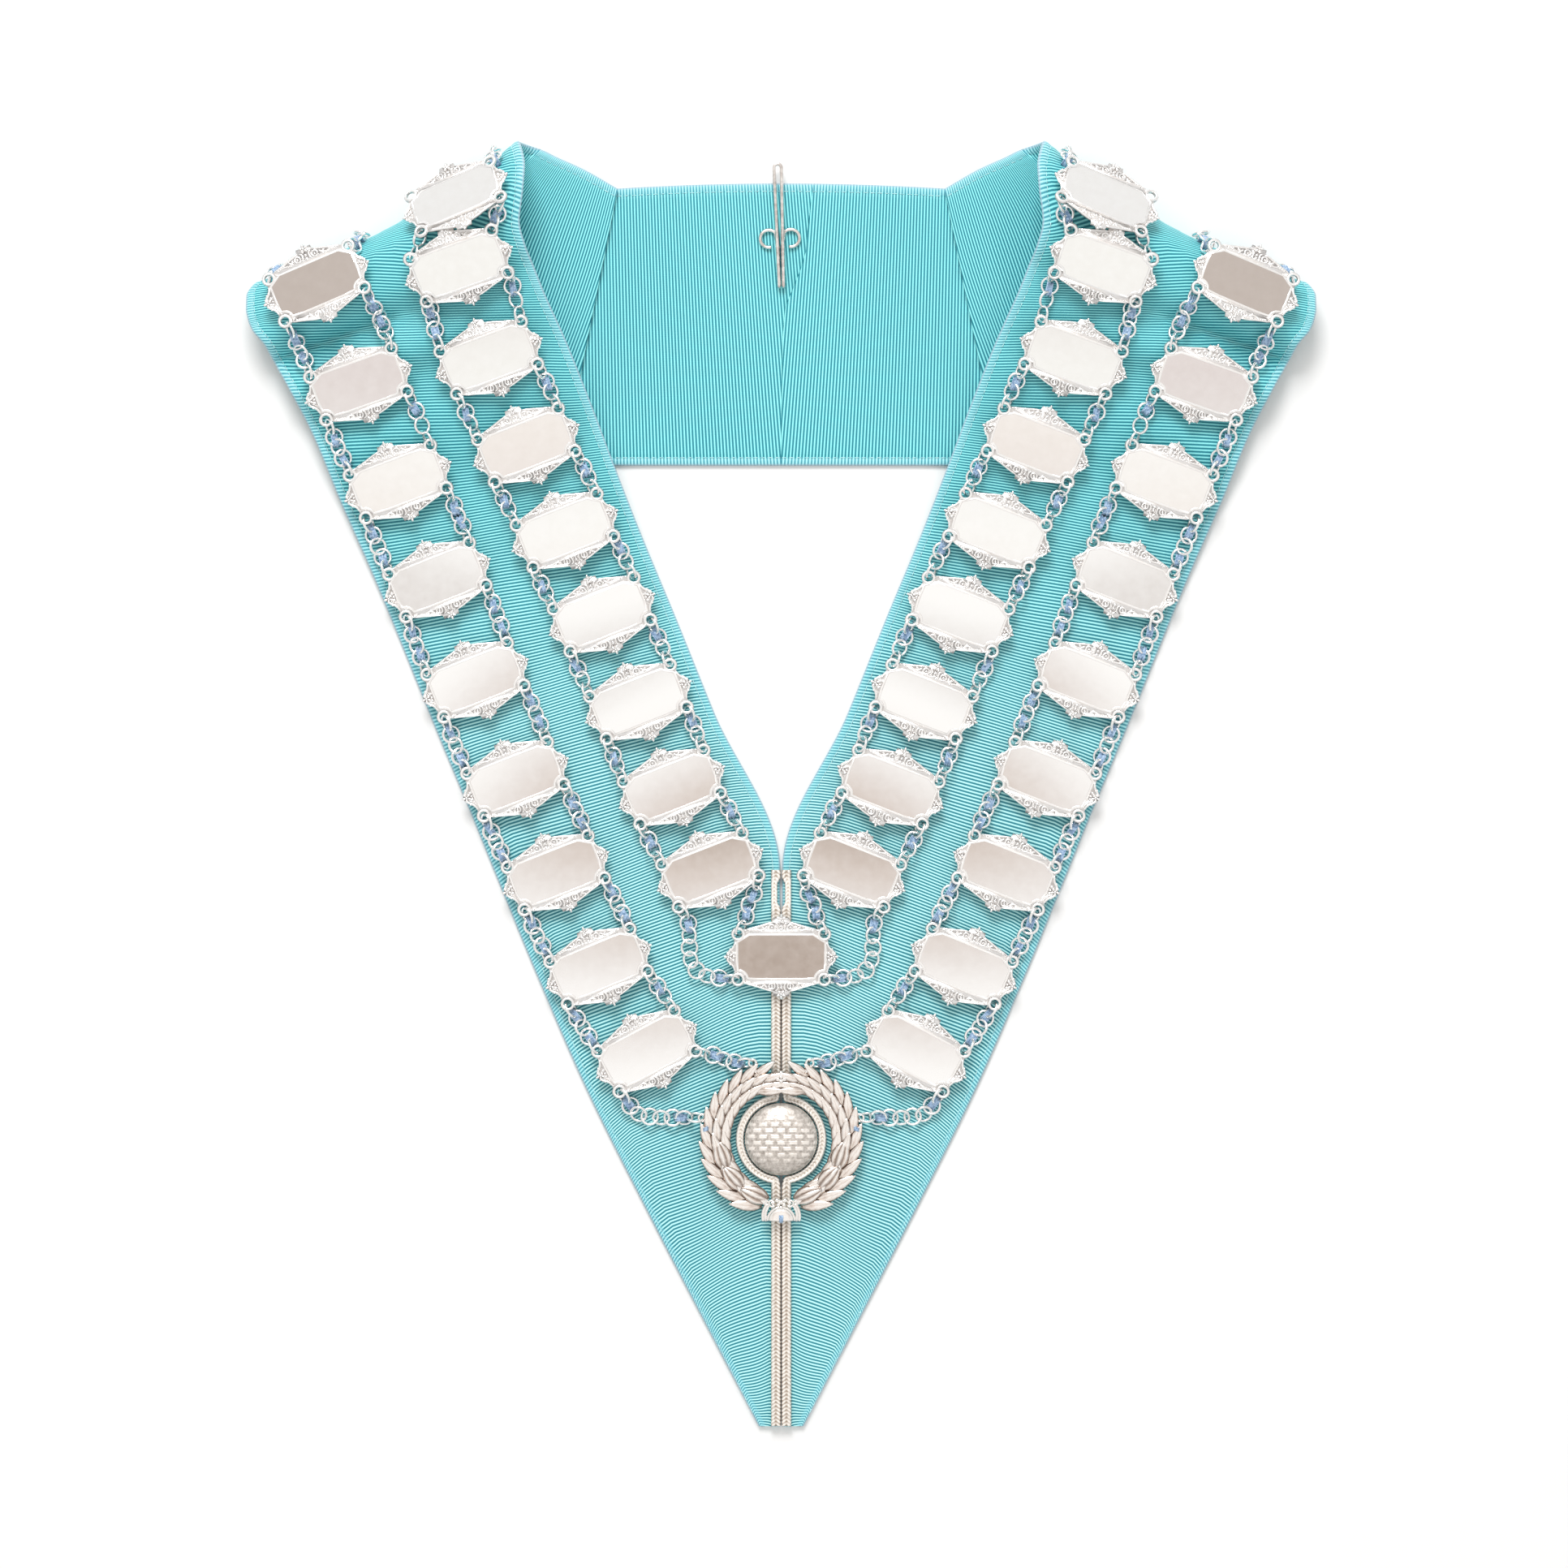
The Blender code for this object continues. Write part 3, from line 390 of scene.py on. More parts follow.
class Piece:
    """Faces of one visible piece, gathered from simple shapes."""

    def __init__(self):
        self.points = []
        self.faces = []
        self.looks = []
        self.marks = []
        self.count = 0

    def add(self, points, faces, look=0, marks=None):
        points = np.asarray(points, dtype=float).reshape(-1, 3)
        faces = [[corner + self.count for corner in face] for face in faces]
        self.points.append(points)
        self.faces.extend(faces)
        self.looks.extend([look] * len(faces))
        if marks is None:
            marks = np.column_stack([points[:, 0], points[:, 2]])
        self.marks.append(np.asarray(marks, dtype=float).reshape(-1, 2))
        self.count += len(points)

    def sweep(self, path, side, radius, sides=6, look=0):
        """Round tube along a path, whose section's first axis stays near the given side."""
        path = np.asarray(path, dtype=float)
        ahead = unit(np.gradient(path, axis=0))
        side = np.broadcast_to(np.asarray(side, dtype=float), path.shape)
        lift = unit(np.cross(ahead, side))
        side = np.cross(lift, ahead)
        radius = np.broadcast_to(np.asarray(radius, dtype=float), (len(path),))[:, None, None]
        turn = circle(sides)
        ring = side[:, None] * np.cos(turn)[:, None] + lift[:, None] * np.sin(turn)[:, None]
        points = path[:, None] + ring * radius
        faces = grid_faces(len(path), sides, wrap_columns=True).tolist()
        last = (len(path) - 1) * sides
        faces.append(list(range(sides)))
        faces.append([last + corner for corner in reversed(range(sides))])
        self.add(points, faces, look)

    def ring(self, centre, first, second, radius, wire, around, sides):
        """Round ring in the plane of two axes."""
        turn = circle(around)
        radial = np.outer(np.cos(turn), first) + np.outer(np.sin(turn), second)
        axis = np.cross(first, second)
        bend = circle(sides)
        tube = radial[:, None] * np.cos(bend)[:, None] + axis * np.sin(bend)[:, None]
        points = np.asarray(centre) + radial[:, None] * radius + tube * wire
        self.add(points, grid_faces(around, sides, True, True).tolist())

    def bead(self, centre, radius, flat=1.0, around=7, levels=4):
        """Small ball with its pole up."""
        turn = circle(around)
        rows = []
        for angle in np.radians(np.linspace(-90.0, 90.0, levels + 1)[1:-1]):
            reach = radius * math.cos(angle)
            rise = np.full(around, radius * flat * math.sin(angle))
            rows.append(np.column_stack([reach * np.cos(turn), reach * np.sin(turn), rise]))
        points = np.vstack(rows + [[(0.0, 0.0, -radius * flat)], [(0.0, 0.0, radius * flat)]])
        faces = grid_faces(levels - 1, around, wrap_columns=True).tolist()
        bottom = (levels - 1) * around
        for step in range(around):
            following = (step + 1) % around
            faces.append([bottom, following, step])
            faces.append([bottom + 1, bottom - around + step, bottom - around + following])
        self.add(points + np.asarray(centre, dtype=float), faces)

    def shell(self, top, bottom, marks):
        """Closed sheet between two grids of the same size."""
        rows, columns = top.shape[:2]
        loop = np.concatenate([top, bottom[:, ::-1]], axis=1)
        both = np.concatenate([marks, marks[:, ::-1]], axis=1)
        faces = grid_faces(rows, 2 * columns, wrap_columns=True).tolist()
        last = (rows - 1) * 2 * columns
        for column in range(columns - 1):
            cap = [column, column + 1, 2 * columns - 2 - column, 2 * columns - 1 - column]
            faces.append(cap)
            faces.append([last + corner for corner in reversed(cap)])
        self.add(loop, faces, marks=both)

    def make(self, name, materials, slot, nodes=(), matrix=None, weld=0.0, mirrored=False):
        """Object that rides the collar, stands for its nodes and takes its finish from its materials; its
        slot is not used.
        """
        points = np.vstack(self.points)
        if matrix is not None:
            points = points @ np.array(matrix.to_3x3()).T + np.array(matrix.translation)
        if mirrored:
            points = points * MIRROR
        mesh = bpy.data.meshes.new(name)
        mesh.from_pydata(points.tolist(), [], self.faces)
        mesh.polygons.foreach_set("material_index", self.looks)
        mesh.polygons.foreach_set("use_smooth", [True] * len(self.faces))
        corners = np.zeros(len(mesh.loops), dtype=int)
        mesh.loops.foreach_get("vertex_index", corners)
        layer = mesh.uv_layers.new(name="detail")
        layer.data.foreach_set("uv", np.vstack(self.marks)[corners].ravel())
        for material in materials:
            mesh.materials.append(material)
        tidy_mesh(mesh, weld)
        item = add_object(name, mesh)
        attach(item, "root")
        if nodes:
            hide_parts(*nodes)
        return item


def tidy_mesh(mesh, weld):
    """Weld what lies together and turn every face outward."""
    body = bmesh.new()
    body.from_mesh(mesh)
    if weld:
        bmesh.ops.remove_doubles(body, verts=body.verts, dist=weld)
        bmesh.ops.dissolve_degenerate(body, edges=body.edges, dist=weld)
    bmesh.ops.recalc_face_normals(body, faces=body.faces)
    body.to_mesh(mesh)
    body.free()


class Nodes:
    """A tree of shader nodes, with short ways to add and join them."""

    def __init__(self, tree):
        self.tree = tree

    def node(self, kind, **settings):
        node = self.tree.nodes.new(kind)
        for name, value in settings.items():
            setattr(node, name, value)
        return node

    def link(self, output, socket):
        self.tree.links.new(output, socket)

    def math(self, operation, first, second=0.0):
        node = self.node("ShaderNodeMath", operation=operation)
        for socket, value in zip(node.inputs, (first, second)):
            if isinstance(value, float):
                socket.default_value = value
            else:
                self.link(value, socket)
        return node.outputs[0]

    def add(self, first, second):
        return self.math("ADD", first, second)

    def times(self, first, second):
        return self.math("MULTIPLY", first, second)

    def clamped(self, value):
        return self.math("MINIMUM", self.math("MAXIMUM", value, 0.0), 1.0)

    def axes(self, place):
        parts = self.node("ShaderNodeSeparateXYZ")
        self.link(place, parts.inputs[0])
        return parts.outputs

    def ramp(self, factor, *stops):
        node = self.node("ShaderNodeValToRGB")
        ramp = node.color_ramp
        while len(ramp.elements) < len(stops):
            ramp.elements.new(0.5)
        for element, (position, color) in zip(ramp.elements, stops):
            element.position = position
            element.color = (*color, 1.0)
        self.link(factor, node.inputs[0])
        return node.outputs[0]

    def mix(self, factor, first, second, kind="MIX"):
        node = self.node("ShaderNodeMix", data_type="RGBA", blend_type=kind)
        values = {"Factor_Float": factor, "A_Color": first, "B_Color": second}
        for socket in node.inputs:
            if socket.identifier in values:
                value = values[socket.identifier]
                if isinstance(value, float):
                    socket.default_value = value
                elif isinstance(value, tuple):
                    socket.default_value = (*value, 1.0)
                else:
                    self.link(value, socket)
        return [socket for socket in node.outputs if socket.identifier == "Result_Color"][0]


class Look(Nodes):
    """One material, whose nodes shape its colour and relief."""

    def __init__(self, name, color, metallic, roughness, **constants):
        self.material = bpy.data.materials.new(name)
        self.material.use_nodes = True
        super().__init__(self.material.node_tree)
        self.shader = self.tree.nodes["Principled BSDF"]
        self.shader.inputs["Base Color"].default_value = (*color, 1.0)
        self.shader.inputs["Metallic"].default_value = metallic
        self.shader.inputs["Roughness"].default_value = roughness
        for socket, value in constants.items():
            self.shader.inputs[socket.replace("_", " ")].default_value = value

    def marks(self):
        """The two detail values that each piece's mesh holds."""
        parts = self.axes(self.node("ShaderNodeUVMap", uv_map="detail").outputs[0])
        return parts[0], parts[1]

    def object_place(self):
        return self.node("ShaderNodeTexCoord").outputs["Object"]

    def noise(self, scale, detail):
        node = self.node("ShaderNodeTexNoise")
        node.inputs["Scale"].default_value = scale
        node.inputs["Detail"].default_value = detail
        self.link(self.object_place(), node.inputs["Vector"])
        return node.outputs["Fac"]

    def stirred(self, level, grain, amount):
        """A level, raised and lowered by a grain."""
        return self.add(level, self.times(self.math("SUBTRACT", grain, 0.5), amount))

    def relief(self, height, distance, strength):
        node = self.node("ShaderNodeBump")
        node.inputs["Distance"].default_value = distance
        node.inputs["Strength"].default_value = strength
        self.link(height, node.inputs["Height"])
        self.link(node.outputs[0], self.shader.inputs["Normal"])

    def paint(self, color):
        self.link(color, self.shader.inputs["Base Color"])

    def polish(self, factor, low, high):
        """Roughness between two values."""
        self.link(self.add(self.times(factor, high - low), low), self.shader.inputs["Roughness"])


def ribbon_look():
    """Ribbed satin: painted highlights on the ridges and painted shade in the furrows, a painted sheen that
    grows paler towards the point, and a hem with a fringed rim.
    """
    look = Look("ribbon", (0.22, 0.68, 0.74), 0.0, 0.5, Sheen_Weight=0.25, Sheen_Roughness=0.4)
    rib, edge = look.marks()
    # painted highlight on the ridges of the ribs and painted shade in their furrows, over their real relief;
    # fleck and weft are the cloth's own grain
    ridge = look.add(look.times(look.math("COSINE", look.times(rib, 2 * math.pi)), -0.5), 0.5)
    weft = look.math("SINE", look.times(edge, 2 * math.pi / WEFT_PITCH))
    fleck = look.noise(2200.0, 3.0)
    level = look.add(look.stirred(ridge, fleck, 0.20), look.times(weft, 0.02))
    # two lit copies of the same ribbon: a duller one, and a paler one with a painted sheen that takes over
    # towards the point
    deep = look.ramp(level, (0.10, (0.006, 0.205, 0.265)), (0.45, (0.04, 0.42, 0.50)),
                     (0.85, (0.31, 0.88, 0.89)))
    pale = look.ramp(level, (0.10, (0.012, 0.195, 0.255)), (0.45, (0.09, 0.47, 0.545)),
                     (0.85, (0.56, 0.98, 0.97)))
    place_y = look.axes(look.object_place())["Y"]
    low = look.clamped(look.times(look.math("SUBTRACT", PAINTED_SHEEN_FROM_Y, place_y), 1.0 / PAINTED_SHEEN_OVER))
    cloth = look.mix(low, deep, pale)
    # the hem's border carries the same painted rib highlight and shade
    border = look.ramp(level, (0.1, (0.05, 0.33, 0.42)), (0.9, (0.42, 0.88, 0.92)))
    near_edge = look.math("LESS_THAN", edge, BORDER_WIDTH)
    fringe = look.math("LESS_THAN", edge, FRINGE_WIDTH)
    color = look.mix(look.times(fringe, 0.6), look.mix(near_edge, cloth, border), (0.38, 0.50, 0.60))
    shade = look.ramp(look.noise(9.0, 2.0), (0.3, (0.74, 0.82, 0.86)), (0.7, (1.0, 1.0, 1.0)))
    look.paint(look.mix(0.35, color, shade, "MULTIPLY"))
    look.relief(look.add(look.times(weft, 0.25), look.times(fleck, 0.6)), 0.08 * MM, 0.5)
    return look.material


def thread_look(name, dark, light):
    look = Look(name, light, 0.0, 0.5, Sheen_Weight=0.3)
    strand = look.noise(1400.0, 2.0)
    look.paint(look.ramp(strand, (0.35, dark), (0.65, light)))
    look.relief(strand, 0.1 * MM, 0.7)
    return look.material


def cast_look(name, color, rough, scale, stir, spread, lift, stops, polish, strength):
    """Cast silver: painted highlight on what stands up, painted shade in what lies low."""
    look = Look(name, color, 1.0, rough)
    _, level = look.marks()
    grain = look.noise(scale, 3.0)
    level = look.add(look.times(look.stirred(level, grain, stir), spread), lift)
    look.paint(look.ramp(level, *stops))
    look.polish(grain, *polish)
    look.relief(grain, 0.08 * MM, strength)
    return look.material


def mirror_look():
    """Polished plate with the faintest wipe marks."""
    look = Look("mirror", (0.94, 0.93, 0.92), 1.0, 0.06)
    haze = look.noise(260.0, 5.0)
    look.paint(look.ramp(haze, (0.3, (0.925, 0.915, 0.905)), (0.7, (0.955, 0.95, 0.945))))
    look.polish(haze, 0.05, 0.10)
    look.relief(look.noise(35.0, 1.0), 0.02 * MM, 0.25)
    return look.material


def wire_look(name, dark, light, smooth, rough):
    look = Look(name, light, 1.0, smooth)
    grain = look.noise(500.0, 4.0)
    look.paint(look.ramp(grain, (0.3, dark), (0.65, light)))
    look.polish(grain, smooth, rough)
    look.relief(grain, 0.08 * MM, 0.6)
    return look.material


def weave_look(name, dark, light, metallic, rough):
    """Metal thread wound on a core: fine strands, with painted shade between them and painted highlights
    where the marks stand high.
    """
    look = Look(name, light, metallic, rough)
    _, level = look.marks()
    grain = look.noise(900.0, 3.0)
    look.paint(look.ramp(look.stirred(level, grain, 0.7), (0.15, dark), (0.75, light)))
    look.polish(grain, rough - 0.1, rough + 0.15)
    look.relief(grain, 0.15 * MM, 0.7)
    return look.material


def floor_look():
    look = Look("floor", (0.88, 0.88, 0.88), 0.0, 0.7)
    grain = look.noise(40.0, 4.0)
    look.paint(look.ramp(grain, (0.3, (0.868, 0.868, 0.87)), (0.7, (0.882, 0.882, 0.882))))
    look.polish(grain, 0.65, 0.8)
    look.relief(look.noise(800.0, 2.0), 0.05 * MM, 0.2)
    return look.material


LOOKS = {
    "ribbon": ribbon_look(),
    "stitch": thread_look("stitch", (0.25, 0.60, 0.68), (0.62, 0.93, 0.95)),
    "blue": thread_look("blue_thread", (0.15, 0.27, 0.45), (0.48, 0.64, 0.84)),
    # the dark end of the stops is painted shade in the plates' low parts
    "silver": cast_look(
        "silver", (0.95, 0.93, 0.91), 0.2, scale=700.0, stir=0.35, spread=0.8, lift=0.4,
        stops=((0.02, (0.60, 0.56, 0.54)), (0.40, (0.94, 0.915, 0.90)), (0.62, (1.0, 0.99, 0.98))),
        polish=(0.22, 0.38), strength=0.4),
    "mirror": mirror_look(),
    "ring": wire_look("ring_silver", (0.90, 0.89, 0.88), (1.0, 1.0, 1.0), 0.14, 0.26),
    # the dark end of the stops is painted shade in the wreath's gaps and hollows, the light end a painted
    # highlight
    "wreath": cast_look(
        "wreath_silver", (0.93, 0.87, 0.82), 0.25, scale=600.0, stir=0.45, spread=1.0, lift=0.0,
        stops=((0.05, (0.34, 0.27, 0.23)), (0.36, (0.84, 0.75, 0.69)), (0.70, (1.0, 0.97, 0.94))),
        polish=(0.12, 0.26), strength=0.5),
    "hook": wire_look("hook_wire", (0.62, 0.56, 0.53), (0.93, 0.89, 0.86), 0.14, 0.30),
    # the dark end is painted shade between the button's pads and cords
    "button": weave_look("button_cloth", (0.24, 0.20, 0.17), (0.95, 0.89, 0.83), 0.5, 0.36),
    # the dark end is painted shade between the braid's strands, the light end a painted highlight
    "braid": weave_look("braid_thread", (0.44, 0.36, 0.29), (1.0, 0.95, 0.89), 0.35, 0.34),
    "floor": floor_look(),
}


def edge_columns(width):
    """Places across a band: close at its hems, where it is stitched, and then evenly."""
    hem = np.array(HEM_COLUMNS) * MM
    count = max(2, round((width - 2 * hem[-1]) / COLUMN_STEP))
    inner = np.linspace(hem[-1], width - hem[-1], count + 1)[1:-1]
    return np.concatenate([hem, inner, width - hem[::-1]])


def hem_profile(distance):
    """Half the cloth's thickness by distance from its edge: thin rim, full hem, pressed stitch line."""
    full = CLOTH / 2 - RIB_HEIGHT
    rim = 0.45 + 0.55 * np.clip(distance / (1.0 * MM), 0.0, 1.0)
    groove = 0.35 * np.exp(-((distance - STITCH_INSET) / (0.5 * MM)) ** 2)
    return full * (rim - groove)


def rib_wave(count):
    """Height of the ribs, from 0 in the furrows to 1 on the ridges."""
    return 0.5 - 0.5 * np.cos(2 * math.pi * count)


def rib_rows(start, end, pitch):
    first = math.floor(start / pitch)
    last = math.ceil(end / pitch)
    counts = [number + sample for number in range(first, last) for sample in RIB_SAMPLES]
    return np.array(counts + [float(last)])


def front_grids(front):
    """Upper and lower face of a front, whose rows follow its ribs, and their detail marks."""
    lead_at = [front.place_of(name) for name, _ in RIB_LEAD]
    lead = [amount * MM for _, amount in RIB_LEAD]
    spare = max(abs(amount) for amount in lead) / 2
    ribs = rib_rows(-spare, front.length + spare, RIB_PITCH)
    along = (ribs * RIB_PITCH)[:, None]
    columns = edge_columns(RIBBON_WIDTH)
    share = np.broadcast_to(columns / RIBBON_WIDTH, (len(ribs), len(columns)))
    drift = np.interp(along, lead_at, lead) * (share - 0.5)
    drift = drift + RIB_SWAY * np.sin(2 * math.pi * along / RIB_SWAY_LENGTH + 5.0 * share)
    low = np.clip((along - front.place_of("flat")) / TURN_GROWS_OVER, 0.0, 1.0)
    near_inner = np.clip((share - 1.0 + INNER_TURN_SHARE) / INNER_TURN_SHARE, 0.0, 1.0)
    near_outer = np.clip((OUTER_TURN_SHARE - share) / OUTER_TURN_SHARE, 0.0, 1.0)
    drift = drift + low * (INNER_TURN * near_inner ** 2) + low * (OUTER_TURN * near_outer ** 2)
    free = along + drift
    where = np.clip(free, 0.0, front.length)
    count = np.column_stack([np.interp(where[:, column], free[:, column], ribs)
                             for column in range(len(columns))])
    kept = np.flatnonzero((where.max(axis=1) > 0.0) & (where.min(axis=1) < front.length))
    span = slice(max(kept[0] - 1, 0), kept[-1] + 2)
    where, share, count = [grid[span] for grid in (where, share, count)]
    rows = front.spline.at(where.ravel())
    real_width = np.linalg.norm(rows[:, 3:6] - rows[:, 0:3], axis=1).reshape(where.shape)
    real = np.minimum(share, 1.0 - share) * real_width
    near = np.minimum(share, 1.0 - share) * RIBBON_WIDTH
    middle, normal = front.skin(where, share)
    half = hem_profile(near) + RIB_HEIGHT * rib_wave(count) * np.clip(near / (1.5 * MM), 0.3, 1.0)
    marks = np.stack([count, np.minimum(near, real) / MM], axis=-1)
    return middle + normal * half[..., None], middle - normal * half[..., None], marks


def stitch_line(piece, path, normal):
    """Row of short thread arcs along a path on the cloth."""
    travelled = distance_along(path)
    arc_height = np.array(STITCH_ARC) * MM
    step = STITCH_LENGTH + STITCH_GAP
    for number in range(int(travelled[-1] / step)):
        stops = number * step + np.linspace(0.0, STITCH_LENGTH, len(arc_height))
        points = sampled(stops, travelled, path)
        lifted = sampled(stops, travelled, normal)
        side = unit(np.cross(points[-1] - points[0], lifted[2]))
        piece.sweep(points + lifted * arc_height[:, None], side, STITCH_THREAD, sides=4)


def front_stitches(front):
    piece = Piece()
    places = np.linspace(0.5 * MM, front.length - 3.0 * MM, 900)
    share = np.full(len(places), STITCH_INSET / RIBBON_WIDTH)
    for across in (share, 1.0 - share):
        middle, normal = front.skin(places, across)
        for way in (1.0, -1.0):
            near = places < front.place_of("heel") if way < 0 else places > front.place_of("under")
            face = middle + normal * way * (CLOTH / 2 - STITCH_SINK)
            stitch_line(piece, face[near], normal[near] * way)
    return piece


def make_fronts(front):
    sheets = []
    for side, mirrored in HANDS:
        piece = Piece()
        piece.shell(*front_grids(front))
        cloth = piece.make(f"cloth_front_{side}", [LOOKS["ribbon"]], "ribbon", [f"ribbon_front_{side}"],
                           weld=CLOTH_WELD, mirrored=mirrored)
        stitches = front_stitches(front).make(f"stitches_front_{side}", [LOOKS["stitch"]], "ribbon",
                                              mirrored=mirrored)
        sheets.append((cloth, stitches))
    return sheets


def panel_bounds(front, depth):
    """Left edge of the back panel at each share of its depth."""
    top = front.panel[0]
    foot = front.panel[1]
    return top[0] + (foot[0] - top[0]) * depth


# The panel's middle pleat: how far aside it lies, in mm, by share of the panel's depth.
PLEAT_DEPTHS = (0.0, 0.19, 0.26, 0.38, 0.42, 0.56, 1.0)
PLEAT_SIDES = (12.3, 9.7, 9.3, 4.2, 1.8, 0.4, 0.0)
PLEAT_GAP = 0.02 * MM
# how far the ribs lean outward from the panel's upper to its lower edge
PANEL_LEAN = 8.0 * MM


def panel_crown(front, x, depth):
    """How far the panel's ribs bow upward in the middle, less towards its lower edge."""
    return PANEL_CROWN * (1.0 - (x / front.panel[0][0]) ** 2) * (1.0 - depth)


def panel_grids(front, side):
    """Faces of the left or right half of the back panel, whose columns follow its ribs."""
    reach = -front.panel[1][0]
    rows = edge_columns(PANEL_DEPTH) / PANEL_DEPTH
    counts = rib_rows(-reach - 2 * MM, reach + 2 * MM, PANEL_RIB_PITCH)
    depth = rows[:, None]
    outward = (counts * PANEL_RIB_PITCH)[None, :] * side
    lean = PANEL_LEAN * depth
    free = (outward - lean) / (1.0 - lean / reach) * side
    edge = -panel_bounds(front, depth)
    meet = np.interp(rows, PLEAT_DEPTHS, PLEAT_SIDES)[:, None] * MM + side * PLEAT_GAP
    low = meet if side > 0 else -edge
    high = edge if side > 0 else meet
    used = np.flatnonzero(((free > low) & (free < high)).any(axis=0))
    span = slice(max(used[0] - 1, 0), used[-1] + 2)
    x = np.clip(free, low, high)
    count = np.array([np.interp(places, free_places, counts) for places, free_places in zip(x, free)])
    count = count[:, span]
    x = x[:, span]
    y = front.panel[0][1] + panel_crown(front, x, depth) - depth * PANEL_DEPTH
    near = np.minimum(depth, 1.0 - depth) * PANEL_DEPTH + 0 * x
    lift = UP * (hem_profile(near) + RIB_HEIGHT * rib_wave(count))[..., None]
    middle = np.stack([x, y, np.full(x.shape, CLOTH / 2)], axis=-1)
    return middle + lift, middle - lift, np.stack([count, near / MM], axis=-1)


def make_back(front):
    piece = Piece()
    for side in (-1.0, 1.0):
        piece.shell(*panel_grids(front, side))
    cloth = piece.make("cloth_back", [LOOKS["ribbon"]], "ribbon", ["ribbon_back"], weld=CLOTH_WELD)
    thread = Piece()
    for depth in (STITCH_INSET / PANEL_DEPTH, 1.0 - STITCH_INSET / PANEL_DEPTH):
        edge = -panel_bounds(front, depth) - SEAM_LAP
        x = np.linspace(-edge, edge, 120)
        y = front.panel[0][1] + panel_crown(front, x, depth) - depth * PANEL_DEPTH
        path = np.column_stack([x, y, np.full(len(x), CLOTH - STITCH_SINK)])
        stitch_line(thread, path, np.broadcast_to(UP, path.shape))
    stitches = thread.make("stitches_back", [LOOKS["stitch"]], "ribbon")
    return cloth, stitches


def flat_solid(loops, bottom, top):
    """Points and faces of an outline with its holes, raised between two heights."""
    curve = bpy.data.curves.new("outline", "CURVE")
    curve.dimensions = "2D"
    curve.fill_mode = "BOTH"
    curve.extrude = (top - bottom) / 2
    for loop in loops:
        spline = curve.splines.new("POLY")
        spline.points.add(len(loop) - 1)
        for target, point in zip(spline.points, loop):
            target.co = (point[0], point[1], 0.0, 1.0)
        spline.use_cyclic_u = True
    holder = add_object("outline", curve)
    bpy.context.view_layer.update()
    mesh = bpy.data.meshes.new_from_object(holder.evaluated_get(bpy.context.evaluated_depsgraph_get()))
    bpy.data.objects.remove(holder, do_unlink=True)
    body = bmesh.new()
    body.from_mesh(mesh)
    bmesh.ops.remove_doubles(body, verts=body.verts, dist=0.001)
    body.verts.ensure_lookup_table()
    points = np.array([vertex.co[:] for vertex in body.verts])
    points[:, 2] += (top + bottom) / 2
    faces = [[vertex.index for vertex in face.verts] for face in body.faces]
    body.free()
    return points, faces


def arc(centre, radius, start, end, count):
    turn = np.radians(np.linspace(start, end, count))
    return [(centre[0] + radius * math.cos(a), centre[1] + radius * math.sin(a)) for a in turn]


def mirrored_four(quarter):
    """Whole outline from its upper right quarter, which runs from the side's tip to the top's."""
    half = quarter + [(-x, y) for x, y in reversed(quarter[:-1])]
    return half + [(-x, -y) for x, y in half[1:-1]]


# upper right quarter of a plate's frame, its mirror and the moulding round that, in mm
PLATE_QUARTER = (
    [(21.4, 0.0), (20.9, 0.9), (19.7, 1.3), (18.6, 2.4), (17.7, 3.8)]
    + arc((HOLE_X, HOLE_Y), 2.75, -58.0, 148.0, 12)
    + [(13.2, 10.5), (11.0, 11.1), (8.3, 11.9), (5.5, 12.8), (3.2, 13.3), (2.9, 14.8), (1.2, 14.7),
       (0.0, 16.0)]
)
PANEL_HALF_X = 16.4
PANEL_HALF_Y = 8.0
PLATE_DEPTH = 0.8
MIRROR_MARGIN = 0.25
MIRROR_RINGS = (1.0, 0.975, 0.5)
MIRROR_LEVEL = 0.30
MIRROR_DOME = 0.02
MIRROR_DEPTH = 0.35
MOULDING_WIDTH = 0.42
MOULDING_BASE = 0.1
MOULDING_SECTION = ((-1.0, -0.5), (-0.95, 0.22), (-0.6, 0.36), (-0.1, 0.22), (0.35, 0.40), (0.8, 0.34),
                    (1.0, 0.08), (1.0, -0.5))

# raised scrolls of a quarter of the frame: their points, radius and height
SCROLLS = (
    ([(13.4, 10.2), (10.9, 10.8), (8.2, 11.6), (5.4, 12.5), (3.0, 13.1)], 0.42, -0.06),
    ([(11.6, 9.8), (9.6, 10.4), (7.6, 10.1), (6.2, 10.6), (5.3, 11.7)], 0.42, -0.12),
    ([(7.6, 11.2), (6.6, 11.0), (6.3, 10.2), (7.0, 9.6)], 0.36, -0.08),
    ([(2.1, 9.7), (1.3, 10.8), (1.3, 12.2), (2.3, 12.9)], 0.42, -0.10),
    ([(17.4, 5.6), (17.8, 4.2), (18.6, 3.0), (19.9, 1.9), (20.4, 0.9)], 0.50, 0.02),
)
# raised rings of a quarter: middle, radius, wire, and the sides around and across
EYES = (((HOLE_X, HOLE_Y, 0.0), 2.1, 0.6, 16, 6), ((3.5, 11.1, -0.04), 1.15, 0.34, 12, 5))
